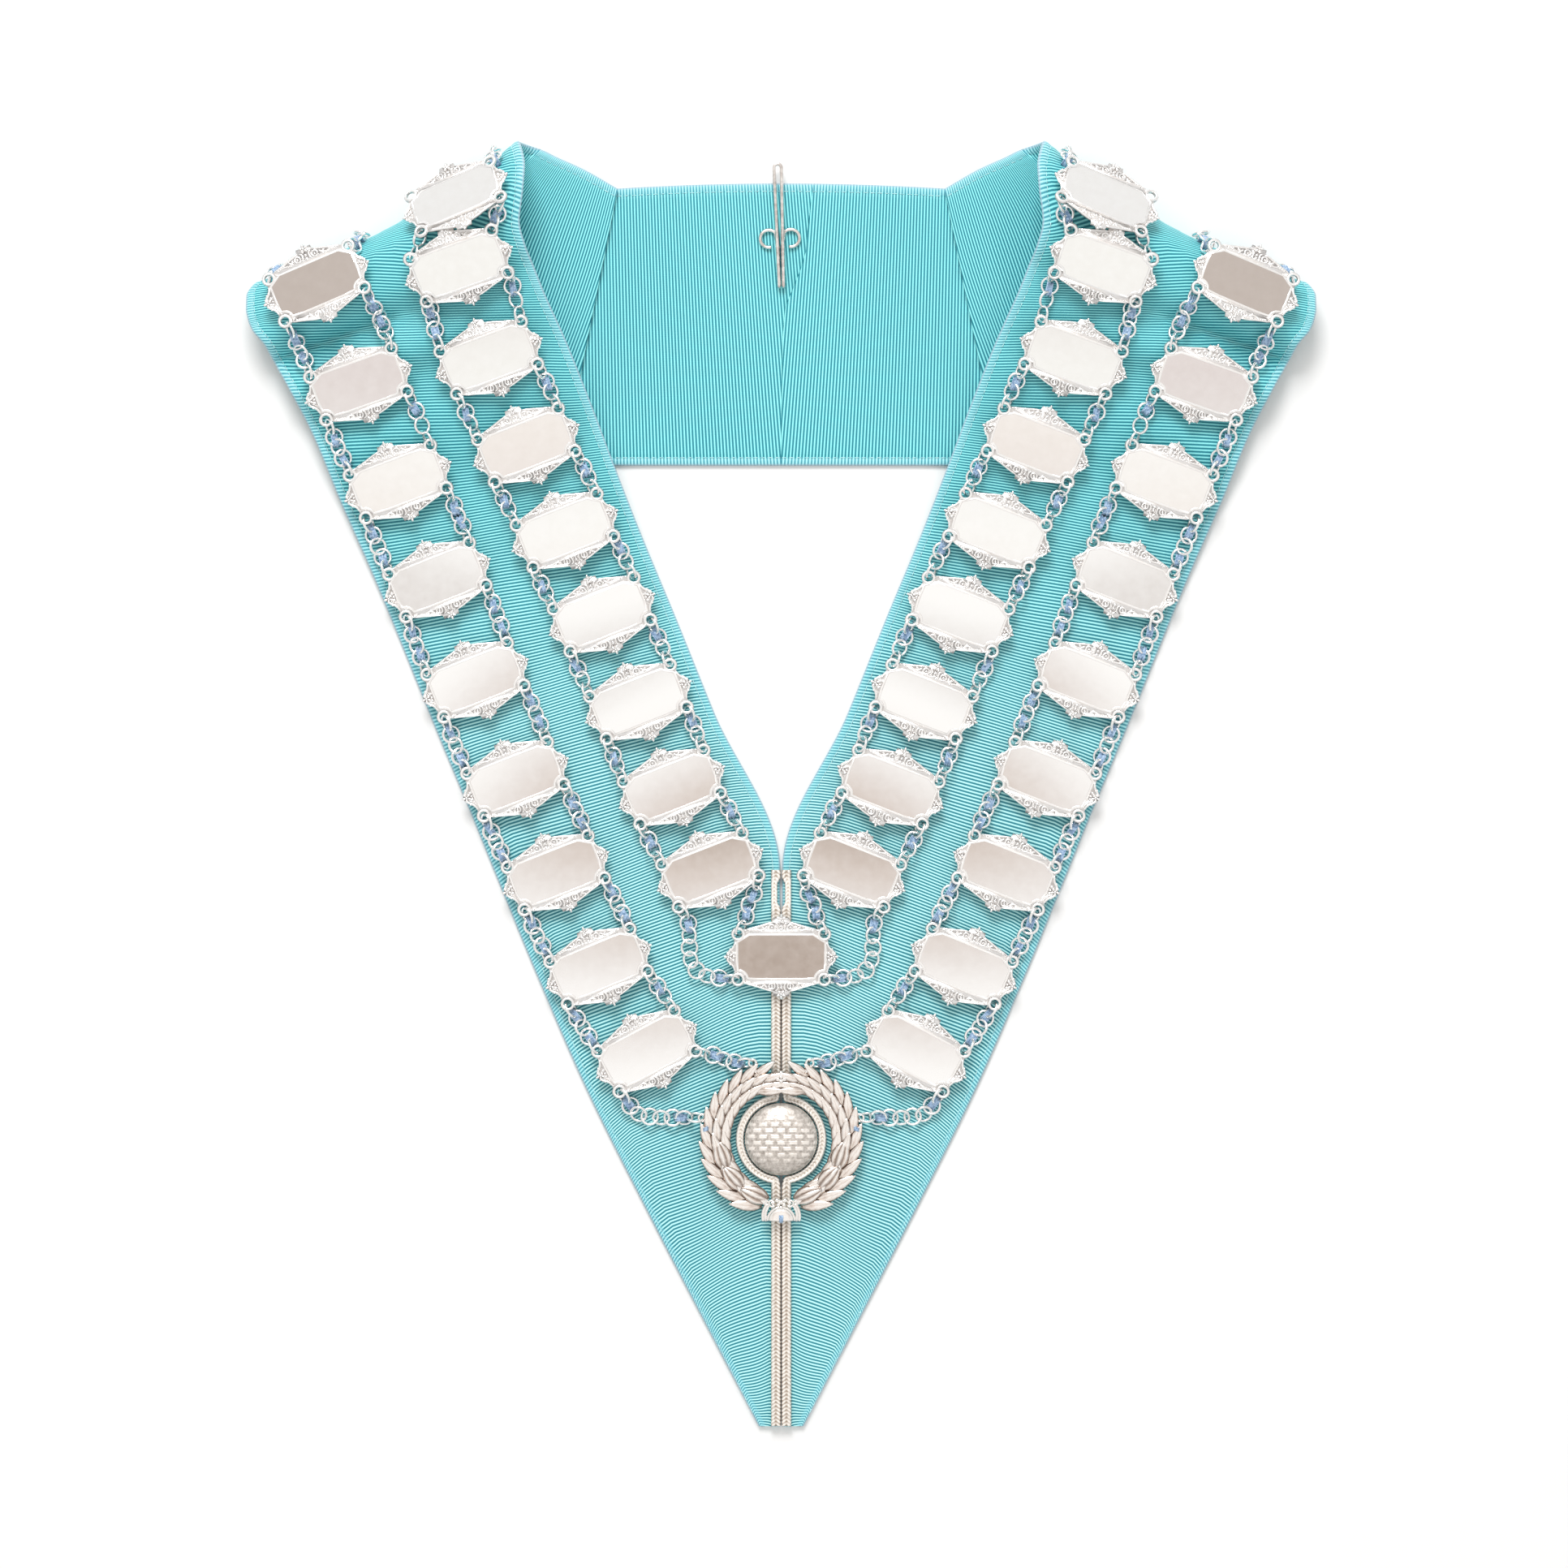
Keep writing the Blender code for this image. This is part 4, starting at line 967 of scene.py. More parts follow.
# beads of a quarter, and of the middles of the top, foot and ends: middle and radius
QUARTER_BEADS = (
    ((3.5, 11.1, -0.05), 0.42), ((18.1, 1.3, 0.0), 0.70), ((19.3, 2.9, 0.1), 0.42),
    *(((11.9 - 2.6 * share, 10.0 + 0.8 * share, -0.08), 0.40) for share in np.linspace(0.0, 1.0, 4)),
)
MIDDLE_BEADS = (((0.0, 10.2, -0.15), 0.7), ((0.0, 11.7, -0.10), 0.5), ((17.9, 0.0, -0.05), 0.5))
FLOWERS = ((0.0, 14.3), (19.9, 0.0))
PETALS = 5
PETAL_REACH = (0.5, 1.1, 1.8)


def panel_outline(grow):
    """Outline of the mirror: chamfered corners at its top, hollow ones round its lower holes."""
    x = PANEL_HALF_X + grow
    y = PANEL_HALF_Y + grow
    bite = 4.0 - grow
    right = [(0.0, y), (4.0, y), (8.0, y), (12.2, y), (14.3, y - 1.4), (x, y - 2.9), (x, 1.5), (x, -1.5)]
    right += arc((HOLE_X, -HOLE_Y), bite, 88.0, 172.0, 7)
    right += [(8.0, -y), (4.0, -y), (0.0, -y)]
    return right + [(-px, py) for px, py in reversed(right[1:-1])]


def relief_curve(piece, points, radius, height):
    """Raised scroll along smooth points in the plate's plane."""
    count = 2 * len(points)
    path = np.column_stack([smooth_path(points, count), np.full(count, height)])
    taper = radius * (0.55 + 0.45 * np.sin(np.linspace(0.15, 0.85, count) * math.pi))
    piece.sweep(path, UP, taper, sides=5)


def plate_ornaments(piece):
    """Scrolls, beads and flowers of one plate, in mm."""
    for quarter in ((-1.0, -1.0, 1.0), (-1.0, 1.0, 1.0), (1.0, -1.0, 1.0), (1.0, 1.0, 1.0)):
        for middle, *sizes in EYES:
            piece.ring(np.array(middle) * quarter, RIGHT, AHEAD, *sizes)
        for points, radius, height in SCROLLS:
            relief_curve(piece, np.array(points) * quarter[:2], radius, height)
        for middle, radius in QUARTER_BEADS:
            piece.bead(np.array(middle) * quarter, radius)
    for way in (-1.0, 1.0):
        for middle in FLOWERS:
            x, y = np.array(middle) * way
            piece.bead((x, y, 0.2), 0.5)
            for petal in range(PETALS):
                angle = math.atan2(y, x) + 2 * math.pi * petal / PETALS
                star = [(x + reach * math.cos(angle), y + reach * math.sin(angle)) for reach in PETAL_REACH]
                relief_curve(piece, star, 0.5, 0.02)
        for middle, radius in MIDDLE_BEADS:
            piece.bead(np.array(middle) * (way, way, 1.0), radius)


def plate_piece(lean):
    """One plate in mm, whose mirror leans by two small slopes."""
    piece = Piece()
    holes = [arc((side * HOLE_X, level * HOLE_Y), HOLE_RADIUS, 0.0, 337.5, 16)
             for side in (-1, 1) for level in (-1, 1)]
    piece.add(*flat_solid([mirrored_four(PLATE_QUARTER)] + holes, -PLATE_DEPTH, 0.0))
    line = np.array(panel_outline(MOULDING_WIDTH))
    moulding_sweep(piece, np.column_stack([line, np.full(len(line), MOULDING_BASE)]))
    rim = np.array(panel_outline(MIRROR_MARGIN))
    count = len(rim)
    rings = [np.column_stack([rim * share, np.zeros(count)]) for share in MIRROR_RINGS]
    points = np.vstack(rings + [[(0.0, 0.0, 0.0)]])
    reach = (points[:, 0] / PANEL_HALF_X) ** 2 + (points[:, 1] / PANEL_HALF_Y) ** 2
    points[:, 2] = MIRROR_LEVEL - MIRROR_DOME * reach + points[:, 0] * lean[0] + points[:, 1] * lean[1]
    faces = grid_faces(len(rings), count, wrap_columns=True).tolist()
    tip = len(rings) * count
    for step in range(count):
        faces.append([tip - count + step, tip, tip - count + (step + 1) % count])
    under = points - UP * MIRROR_DEPTH
    piece.add(np.vstack([points, under[:count], under[-1:]]), faces + mirror_back(count), look=1)
    plate_ornaments(piece)
    return piece


def mirror_back(count):
    """Rim and back of the mirror, which follow its rings and its middle point."""
    start = len(MIRROR_RINGS) * count + 1
    faces = []
    for step in range(count):
        following = (step + 1) % count
        faces.append([step, following, start + following, start + step])
        faces.append([start + count, start + step, start + following])
    return faces


def moulding_sweep(piece, path):
    """Closed raised moulding with a flat foot, round the mirror."""
    ahead = unit(np.roll(path, -1, axis=0) - np.roll(path, 1, axis=0))
    out = np.cross(ahead, UP)
    rows = [path + out * wide * MOULDING_WIDTH + UP * tall for wide, tall in MOULDING_SECTION]
    piece.add(np.stack(rows, axis=1), grid_faces(len(path), len(rows), True, True).tolist())


def node_pose(name):
    """Middle and axes of a plate's node, with its long axis towards +X and its face up."""
    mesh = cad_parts[name].data
    points = np.zeros(len(mesh.vertices) * 3)
    mesh.vertices.foreach_get("co", points)
    points = np.unique(np.round(points.reshape(-1, 3), 6), axis=0)
    middle = points.mean(axis=0)
    _, axes = np.linalg.eigh(np.cov((points - middle).T))
    normal = axes[:, 0] * (1.0 if axes[2, 0] > 0 else -1.0)
    right = axes[:, 2] * (1.0 if axes[0, 2] > 0 else -1.0)
    return Pose(middle, right, normal)


class Pose:
    """Where a plate lies: its middle, and its axes right, up and out of its face."""

    def __init__(self, middle, right, normal):
        self.middle = np.asarray(middle, dtype=float)
        self.right = unit(np.asarray(right, dtype=float))
        self.normal = unit(np.asarray(normal, dtype=float))
        self.up = np.cross(self.normal, self.right)

    def hole(self, side, level):
        return self.middle + (self.right * side * HOLE_X + self.up * level * HOLE_Y) * MM

    def matrix(self):
        axes = np.column_stack([self.right, self.up, self.normal]) * MM
        matrix = Matrix(axes.tolist()).to_4x4()
        matrix.translation = Vector(self.middle.tolist())
        return matrix


# how far, in degrees, a mirror's lean turns its reflection away from straight above
MIRROR_TURNS = {
    "inner_6": -3.1, "inner_7": 3.6, "inner_8": 2.4, "inner_9": 1.3, "centre": -1.6,
    "outer_5": 1.5, "outer_6": 1.3, "outer_7": 1.6, "outer_8": 1.5, "outer_9": 1.2,
}


def mirror_lean(name, pose):
    """Slopes of a mirror across and up, from how its plate happens to lie."""
    key = name.replace("plate_", "").replace("left_", "").replace("right_", "")
    outward = 1.0 if pose.middle[:2] @ pose.up[:2] > 0 else -1.0
    return 0.0, -math.radians(MIRROR_TURNS.get(key, 0.0)) / 2 * outward


def make_plates():
    poses = {}
    names = [f"plate_{row}_{side}_{number}" for row in ("outer", "inner") for side in ("left", "right")
             for number in PLATE_NUMBERS] + ["plate_centre"]
    for name in names:
        pose = node_pose(name)
        poses[name] = pose
        plate = plate_piece(mirror_lean(name, pose))
        plate.make(name.replace("plate", "mirror_plate"), [LOOKS["silver"], LOOKS["mirror"]], "silver",
                   [name], matrix=pose.matrix())
    return poses


class Cloth:
    """Upper face of the left front, to seat the rings on."""

    def __init__(self, front):
        self.front = front
        rows = np.linspace(front.turn - 12 * MM, front.length, 460)
        shares = np.linspace(0.0, 1.0, 34)
        self.where, self.share = [grid.ravel() for grid in np.meshgrid(rows, shares, indexing="ij")]
        middle, normal = front.skin(self.where, self.share)
        self.points = middle + normal * CLOTH / 2
        faces = grid_faces(len(rows), len(shares)).tolist()
        self.tree = BVHTree.FromPolygons(self.points.tolist(), faces)

    def under(self, point):
        """Nearest point of the cloth's face, and its normal."""
        spot, normal, _, _ = self.tree.find_nearest(Vector(point))
        normal = np.array(normal)
        if np.dot(np.array(point) - np.array(spot), normal) < 0 and normal[2] < 0:
            normal = -normal
        return np.array(spot), normal

    def above(self, x, y):
        """Point of the cloth's face seen from above."""
        return np.array(self.tree.ray_cast(Vector((x, y, 0.2)), Vector(-UP))[0])

    def coordinates(self, point):
        nearest = np.argmin(np.linalg.norm(self.points - point, axis=1))
        return self.where[nearest], self.share[nearest]


RUN_BENDS = {("outer", -1): OUTER_ROW_OUTER_RUN, ("outer", 1): OUTER_ROW_INNER_RUN,
             ("inner", -1): INNER_ROW_OUTER_RUN, ("inner", 1): INNER_ROW_INNER_RUN}


def chain_runs(cloth, poses, row, side):
    """Paths on the cloth that one chain's rings follow, between plate holes, from the roll down."""
    plates = [poses[f"plate_{row}_left_{number}"] for number in PLATE_NUMBERS]
    start, share = cloth.coordinates(plates[0].hole(side, 1))
    over = np.linspace(start, cloth.front.turn - CHAIN_OVER_ROLL, 24)
    middle, normal = cloth.front.skin(over, np.full(len(over), share))
    runs = [middle + normal * CLOTH / 2]
    for upper, lower in zip(plates[:-1], plates[1:]):
        runs.append(np.linspace(upper.hole(side, -1), lower.hole(side, 1), 24))
    if row == "inner":
        end = poses["plate_centre"].hole(-1.0, side)
    else:
        spot = polar(EYELET_ANGLES[0 if side > 0 else 1], WREATH_RADIUS * EYELET_REACH) * MIRROR * MM
        end = spot + np.array((0.0, height_up(WREATH_Y), FITTING_BASE + 1.2 * MM))
    bends = [cloth.above(*place(*bend)) for bend in RUN_BENDS[(row, side)]]
    runs.append(smooth_path([plates[-1].hole(side, -1), *bends, end], 80))
    return runs


def seat_rings(cloth, path, free_end):
    """Middle, direction, normal and roll of each ring along one run."""
    ground, normals = [np.array(rows) for rows in zip(*[cloth.under(point) for point in path])]
    travelled = distance_along(ground)
    length = travelled[-1] - (RING_FROM_HOLE if free_end else 2 * RING_FROM_HOLE)
    count = max(2, round(length / RING_PITCH) + 1)
    stops = RING_FROM_HOLE + np.linspace(0.0, length, count)
    normals = unit(sampled(stops, travelled, unit(normals)))
    headings = sampled(stops + MM, travelled, ground) - sampled(stops - MM, travelled, ground)
    rings = []
    for number, (spot, normal, ahead) in enumerate(zip(sampled(stops, travelled, ground), normals, headings)):
        ahead = unit(ahead - normal * np.dot(ahead, normal))
        roll, rise = (END_ROLL, END_RISE) if number in (0, count - 1) else MIDDLE_SEATS[number % 2]
        rings.append((spot, ahead, normal, roll if number % 2 == 0 else -roll, rise))
    return rings


def add_ring(piece, spot, ahead, normal, roll, rise):
    side = np.cross(normal, ahead)
    tilt = math.radians(roll)
    across = side * math.cos(tilt) + normal * math.sin(tilt)
    piece.ring(spot + normal * rise, ahead, across, RING_RADIUS, RING_WIRE, 18, 7)


def add_bundle(piece, spot, ahead, normal, random):
    """Few strands of sewing thread, over the wires inside one lying ring."""
    side = np.cross(normal, ahead)
    strands = random.integers(*BUNDLE_STRANDS)
    along = unit(ahead + side * random.uniform(-BUNDLE_SKEW, BUNDLE_SKEW))
    across = np.cross(normal, along)
    shift = random.choice((-BUNDLE_SHIFT, BUNDLE_SHIFT))
    steps = np.linspace(-1.0, 1.0, 9)
    bulge = (1.0 - steps**8) * (LYING_RISE + BUNDLE_RISE) - BUNDLE_SINK
    for strand in range(strands):
        offset = (strand - (strands - 1) / 2) * STRAND_PITCH
        reach = BUNDLE_REACH + random.uniform(-0.4, 0.4) * MM
        swing = random.uniform(-0.15, 0.15) * MM
        path = (spot + across * offset + along * shift + np.outer(steps * reach, along)
                + np.outer(steps * swing, across) + np.outer(bulge, normal))
        piece.sweep(path, across, STRAND_RADIUS, sides=5)


def make_chains(front, poses):
    cloth = Cloth(front)
    random = np.random.default_rng(11)
    edges = {-1: "outer_edge", 1: "inner_edge"}
    for row in ("outer", "inner"):
        for side in (-1, 1):
            rings = Piece()
            thread = Piece()
            for number, path in enumerate(chain_runs(cloth, poses, row, side)):
                seats = seat_rings(cloth, path, number == 0)
                lean = 1.0 if random.uniform(0.0, 1.0) > 0.5 else -1.0
                for spot, ahead, normal, roll, rise in seats:
                    add_ring(rings, spot, ahead, normal, lean * roll + random.uniform(-4.0, 4.0), rise)
                lying = [seat for seat in seats if seat[4] < END_RISE]
                chosen = lying[::2] if number else lying[:1]
                if number == len(PLATE_NUMBERS):
                    chosen = [seats[1], seats[-2]]
                for spot, ahead, normal, _, _ in chosen:
                    add_bundle(thread, spot, ahead, normal, random)
            name = f"{row}_row_{edges[side]}"
            for hand, mirrored in HANDS:
                rings.make(f"rings_{name}_{hand}", [LOOKS["ring"]], "chain", [f"chain_{name}_{hand}"],
                           mirrored=mirrored)
                thread.make(f"thread_{name}_{hand}", [LOOKS["blue"]], "chain", mirrored=mirrored)


# how much higher a leaf's tip lies than its root, in mm
LEAF_LIFT = 1.25


def leaf(piece, root, heading, length, width, base, rise, flutes=0):
    """One laurel leaf: a domed blade with a sunk midrib and veins, or flutes along it, in mm."""
    steps = np.linspace(0.0, 1.0, 10)
    across = np.linspace(-1.0, 1.0, 13 if flutes else 9)
    ahead = np.array((math.cos(heading), math.sin(heading), 0.0))
    side = np.array((-ahead[1], ahead[0], 0.0))
    blade = np.sin(math.pi * np.clip(steps, 0.03, 0.985) ** 0.8) ** (0.6 if flutes else 0.8)
    top = np.zeros((len(steps), len(across), 3))
    marks = np.zeros((len(steps), len(across), 2))
    dome = np.sqrt(np.maximum(1.0 - (across * 0.96) ** 2, 0.0))
    for row, (step, wide) in enumerate(zip(steps, blade)):
        if flutes:
            detail = 0.26 * np.cos(flutes * math.pi * across)
            level = 0.45 + 0.5 * np.cos(flutes * math.pi * across)
        else:
            vein = np.cos(2 * math.pi * (step * 5.0 - np.abs(across) * 1.1))
            detail = 0.05 * vein - 0.24 * np.exp(-(across / 0.18) ** 2)
            level = 1.05 - np.abs(across) ** 1.5 - 0.6 * np.exp(-(across / 0.20) ** 2) + 0.12 * vein
        top[row] = root + np.outer(np.full(len(across), step * length), ahead)
        top[row] += np.outer(across * wide * width / 2, side)
        top[row, :, 2] = base + rise * wide * dome + detail * wide + LEAF_LIFT * step
        # painted light and shade of a leaf: a painted highlight on the flanks of its dome, painted shade at
        # its edges, in its sunk midrib, in the grooves between flutes and at its root, under the leaf before;
        # the veins are its own pattern
        marks[row, :, 1] = level * (0.15 + 0.85 * dome) * min(1.0, 0.2 + 1.5 * step)
    bottom = top.copy()
    bottom[..., 2] = np.minimum(top[..., 2] - 0.25, base - 0.3)
    piece.shell(top, bottom, marks)


# the wreath's stem, whose lower end is thicker, and its leaves and pods
WREATH_MIDDLE = 24.2
STEM_ENDS = (-78.0, 86.0)
STEM_RADII = (1.6, 1.2)
STEM_POINTS = 40
LEAF_ROWS = 12
LEAF_START = -74.0
LEAF_PITCH = 12.6
LEAF_SIZE = (12.6, 4.4)
POD_ANGLES = (-66.0, -41.0, -17.0)
POD_SIZE = (11.4, 7.2)
FITTING_LIFT = 0.9


def stem_radius(angle):
    """Distance of a branch's stem from the wreath's middle, which draws in towards the top."""
    return WREATH_MIDDLE * (1.0 - 0.055 * max(0.0, angle / 90.0) ** 2)


def make_branch(piece, side):
    """One half of the wreath: a stem, leaves in threes, fluted pods towards the bow, and eyelets."""
    hand = np.array((side, 1.0, 1.0))

    def add_leaf(angle, radius, turn, size, level, rise, flutes=0):
        heading = math.radians(angle + 90.0 + turn)
        if side < 0:
            heading = math.pi - heading
        leaf(piece, polar(angle, radius) * hand, heading, *size, level, rise, flutes)

    stem = [(polar(angle, stem_radius(angle)) + UP * 0.6) * hand
            for angle in np.linspace(*STEM_ENDS, STEM_POINTS)]
    piece.sweep(stem, UP, np.linspace(*STEM_RADII, STEM_POINTS), sides=10)
    for number in range(LEAF_ROWS):
        angle = LEAF_START + number * LEAF_PITCH
        size = np.array(LEAF_SIZE) * (1.0 - 0.14 * (number / (LEAF_ROWS - 1)) ** 2)
        middle = stem_radius(angle)
        add_leaf(angle + 2.0, middle - 2.5, 13.0, size, 0.35, 0.85)
        add_leaf(angle, middle + 2.2, -11.0, size, 0.35, 0.90)
        if number > 3:
            add_leaf(angle + 6.0, middle, 2.0, size * (0.86, 0.9), 1.05, 1.1)
    for angle in POD_ANGLES:
        add_leaf(angle - 12.0, WREATH_MIDDLE - 0.6, 11.0, POD_SIZE, 0.8, 1.5, 3)
    add_leaf(62.0, stem_radius(62.0) - 3.0, 26.0, (11.2, 3.4), 1.1, 0.7)
    for angle in EYELET_ANGLES:
        centre = polar(angle, WREATH_RADIUS * EYELET_REACH) * hand + UP * FITTING_LIFT
        piece.ring(centre, RIGHT, AHEAD, 1.4, 0.48, 16, 7)
        neck = polar(angle, WREATH_RADIUS - 3.0) * hand + UP * FITTING_LIFT
        reach = centre - (centre - neck) * 0.32
        piece.sweep([neck, (neck + reach) / 2, reach], UP, 0.8, sides=7)
    lower_eyelet = polar(EYELET_ANGLES[1] - 7.0, WREATH_RADIUS - 1.2) * hand + UP * 2.4
    for strand in (-0.5, 0.0, 0.5):
        tie = np.array([(-0.5, strand, -0.9), (0.0, strand, 0.1), (0.7, strand - 0.3, 0.1),
                        (1.4, strand - 0.5, -0.9)])
        piece.sweep(lower_eyelet + tie * hand, AHEAD, 0.3, sides=6, look=1)


# the bow's half-disc, and its beads: middle, radius, flatness, and the sides around and up
BOW_FOOT = -30.7
FAN_RADIUS = 4.6
ARCH_RADIUS = 1.12 * FAN_RADIUS
SIDE_BEADS = (((3.5, -23.9, 2.4), 0.55, 1.0, 7, 4), ((1.5, -22.9, 2.4), 0.95, 0.8, 9, 5),
              ((1.1, -24.6, 2.4), 0.80, 0.8, 9, 5))
KNOT_BEADS = (((0.0, -23.6, 2.6), 0.95, 0.9, 9, 5), ((0.0, -25.6, 2.5), 0.75, 0.9, 9, 5))
FLOWER_Y = 23.7


def make_bow(piece):
    """Small knot of scrolls over a half-disc, with a folded end at each side."""
    turns = np.radians(np.linspace(0.0, 180.0, 25))
    shares = np.linspace(0.0, 1.0, 7)
    top = np.zeros((len(shares), len(turns), 3))
    top[..., 0] = FAN_RADIUS * shares[:, None] * np.cos(turns)
    top[..., 1] = BOW_FOOT + FAN_RADIUS * shares[:, None] * np.sin(turns)
    top[..., 2] = 1.9 + 0.7 * np.sqrt(1.0 - 0.92 * shares[:, None] ** 2) + 0.0 * turns
    bottom = top.copy()
    bottom[..., 2] = 0.3
    piece.shell(top, bottom, top[..., (0, 2)])
    arch = [(x, y, 1.9) for x, y in arc((0.0, BOW_FOOT), ARCH_RADIUS, 0.0, 180.0, len(turns))]
    piece.sweep(arch, UP, 0.5, sides=7)
    for side in ((1.0, 1.0, 1.0), (-1.0, 1.0, 1.0)):
        for offset, height in ((5.9, 1.8), (6.9, 1.5)):
            end = np.array([(offset, BOW_FOOT - 0.1, 1.2), (offset + 0.1, -28.4, height),
                            (offset - 0.5, -26.0, height), (offset - 1.6, -24.2, height)])
            piece.sweep(smooth_path(end * side, 12), UP, 0.62, sides=7)
        scroll = [(3.5 + r * math.cos(a), -23.9 + r * math.sin(a), 2.3)
                  for r, a in zip(np.linspace(1.5, 0.5, 16), np.linspace(-2.4, 4.6, 16))]
        piece.sweep(np.array(scroll) * side, UP, 0.42, sides=6)
        for middle, *sizes in SIDE_BEADS:
            piece.bead(np.array(middle) * side, *sizes)
    for strand in (-0.55, 0.0, 0.55):
        tie = [(strand, -28.7, 2.4), (strand, -29.4, 3.1), (strand * 0.8, -30.6, 2.8),
               (strand * 0.7, -31.3, 1.6)]
        piece.sweep(smooth_path(tie, 8), RIGHT, 0.32, sides=6, look=1)
    for bead in KNOT_BEADS:
        piece.bead(*bead)


def make_wreath():
    piece = Piece()
    for side in (1.0, -1.0):
        make_branch(piece, side)
    make_bow(piece)
    for petal in range(6):
        piece.bead(polar(90.0 + 60.0 * petal, 1.5) + np.array((0.0, FLOWER_Y, 1.9)), 0.95, 0.8, 8, 5)
    piece.bead((0.0, FLOWER_Y, 2.5), 0.75, 0.9, 8, 5)
    piece.make("laurel_wreath", [LOOKS["wreath"], LOOKS["blue"]], "wreath", ["wreath"],
               matrix=in_mm(0.0, height_up(WREATH_Y), FITTING_BASE))


# raised pads and cords of the button's weave, and its skirt below the dome: radius and height
PAD_ROW = 2.3
PAD_PITCH = 4.6
CORD_PITCH = 0.62
BUTTON_SKIRT = ((BUTTON_RADIUS, 1.6), (BUTTON_RADIUS * 0.96, 0.6), (BUTTON_RADIUS * 0.9, 0.05))


def pad_height(x, y):
    """Raised pads of the weave, in shifted rows that fade out above and below the middle."""
    row = np.floor(y / PAD_ROW)
    along = np.abs(((x / PAD_PITCH + 0.5 * (row % 2)) % 1.0) - 0.5) * 2
    across = np.abs((y / PAD_ROW % 1.0) - 0.5) * 2
    pad = np.clip((0.72 - along) * 6.0, 0.0, 1.0) * np.clip((0.66 - across) * 4.0, 0.0, 1.0)
    slit = 0.5 * np.exp(-(across / 0.14) ** 2) * pad
    return (pad - slit) * np.clip(1.5 - np.abs(y + 0.6) / 6.5, 0.0, 1.0)


def make_button():
    """Domed button with raised pads and fine cords, over a straight skirt."""
    around = 168
    levels = 48
    turn = circle(around)
    radii = np.linspace(0.12, BUTTON_RADIUS - 0.2, levels)[:, None]
    x = radii * np.cos(turn)
    y = radii * np.sin(turn)
    dome = np.sqrt(np.maximum(1.0 - (radii / BUTTON_RADIUS) ** 2, 0.0))
    raised = pad_height(x, y)
    cord = 0.5 + 0.5 * np.cos(2 * math.pi * y / CORD_PITCH)
    z = 2.0 + (BUTTON_HEIGHT - 2.4) * dome + 0.36 * raised + 0.08 * cord
    skirt = [np.column_stack([radius * np.cos(turn), radius * np.sin(turn), np.full(around, height)])
             for radius, height in BUTTON_SKIRT]
    grid = np.concatenate([np.stack([x, y, z], axis=-1), np.array(skirt)], axis=0)
    marks = np.zeros(grid.shape[:2] + (2,))
    # painted highlight on the raised pads and cords, painted shade in the slits and between them
    marks[:levels, :, 1] = 0.36 + 0.46 * raised + 0.14 * cord
    faces = grid_faces(len(grid), around, wrap_columns=True).tolist()
    faces.append(list(range(around)))
    faces.append([(len(grid) - 1) * around + step for step in reversed(range(around))])
    piece = Piece()
    piece.add(grid, faces, marks=marks)
    piece.make("covered_button", [LOOKS["button"]], "button", ["button"],
               matrix=in_mm(0.0, height_up(WREATH_Y), CLOTH + GAP))


# a braid's rows, its twill, and half of its section: shares of half the width and of the ridge
BRAID_STEP = 0.42
TWILL_PITCH = 1.45
TWILL_SLANT = 0.85
BRAID_SECTION = ((0.0, 0.3), (0.1, 0.45), (0.28, 0.8), (0.5, 1.0), (0.72, 0.92), (0.9, 0.55), (1.0, 0.0))


def braid_route(top, centre, foot):
    """Left braid in mm: down from the notch, round the button, and on to the point."""
    straight = (BRAID_WIDTH + GAP / MM) / 2
    ring_width = BRAID_WIDTH * RING_BRAID_SHARE
    ring = BUTTON_RADIUS + GAP / MM + ring_width / 2
    lean = math.degrees(math.asin((straight + ring_width * 0.1) / ring))
    route = [(-straight, top, 1.0), (-straight, top - SLOT_FROM_TOP, 1.0),
             (-straight - SLOT_ASIDE, top - SLOT_FROM_TOP - SLOT_LENGTH * 0.25, SLOT_SHARE),
             (-straight - SLOT_ASIDE, top - SLOT_FROM_TOP - SLOT_LENGTH * 0.75, SLOT_SHARE),
             (-straight, top - SLOT_FROM_TOP - SLOT_LENGTH, 1.0),
             (-straight, (top + centre + ring) / 2, 1.0),
             (-straight, centre + ring + 2.0 * BRAID_WIDTH, 1.0)]
    around = arc((0.0, centre), ring, 90.0 + lean, 270.0 - lean, 25)
    route += [(x, y, RING_BRAID_SHARE) for x, y in around]
    route.append((-straight, centre - ring - 1.2 * BRAID_WIDTH, 1.0))
    route.append((-straight, (centre - ring + foot) / 2, 1.0))
    route.append((-straight, foot, 1.0))
    return np.array(route)


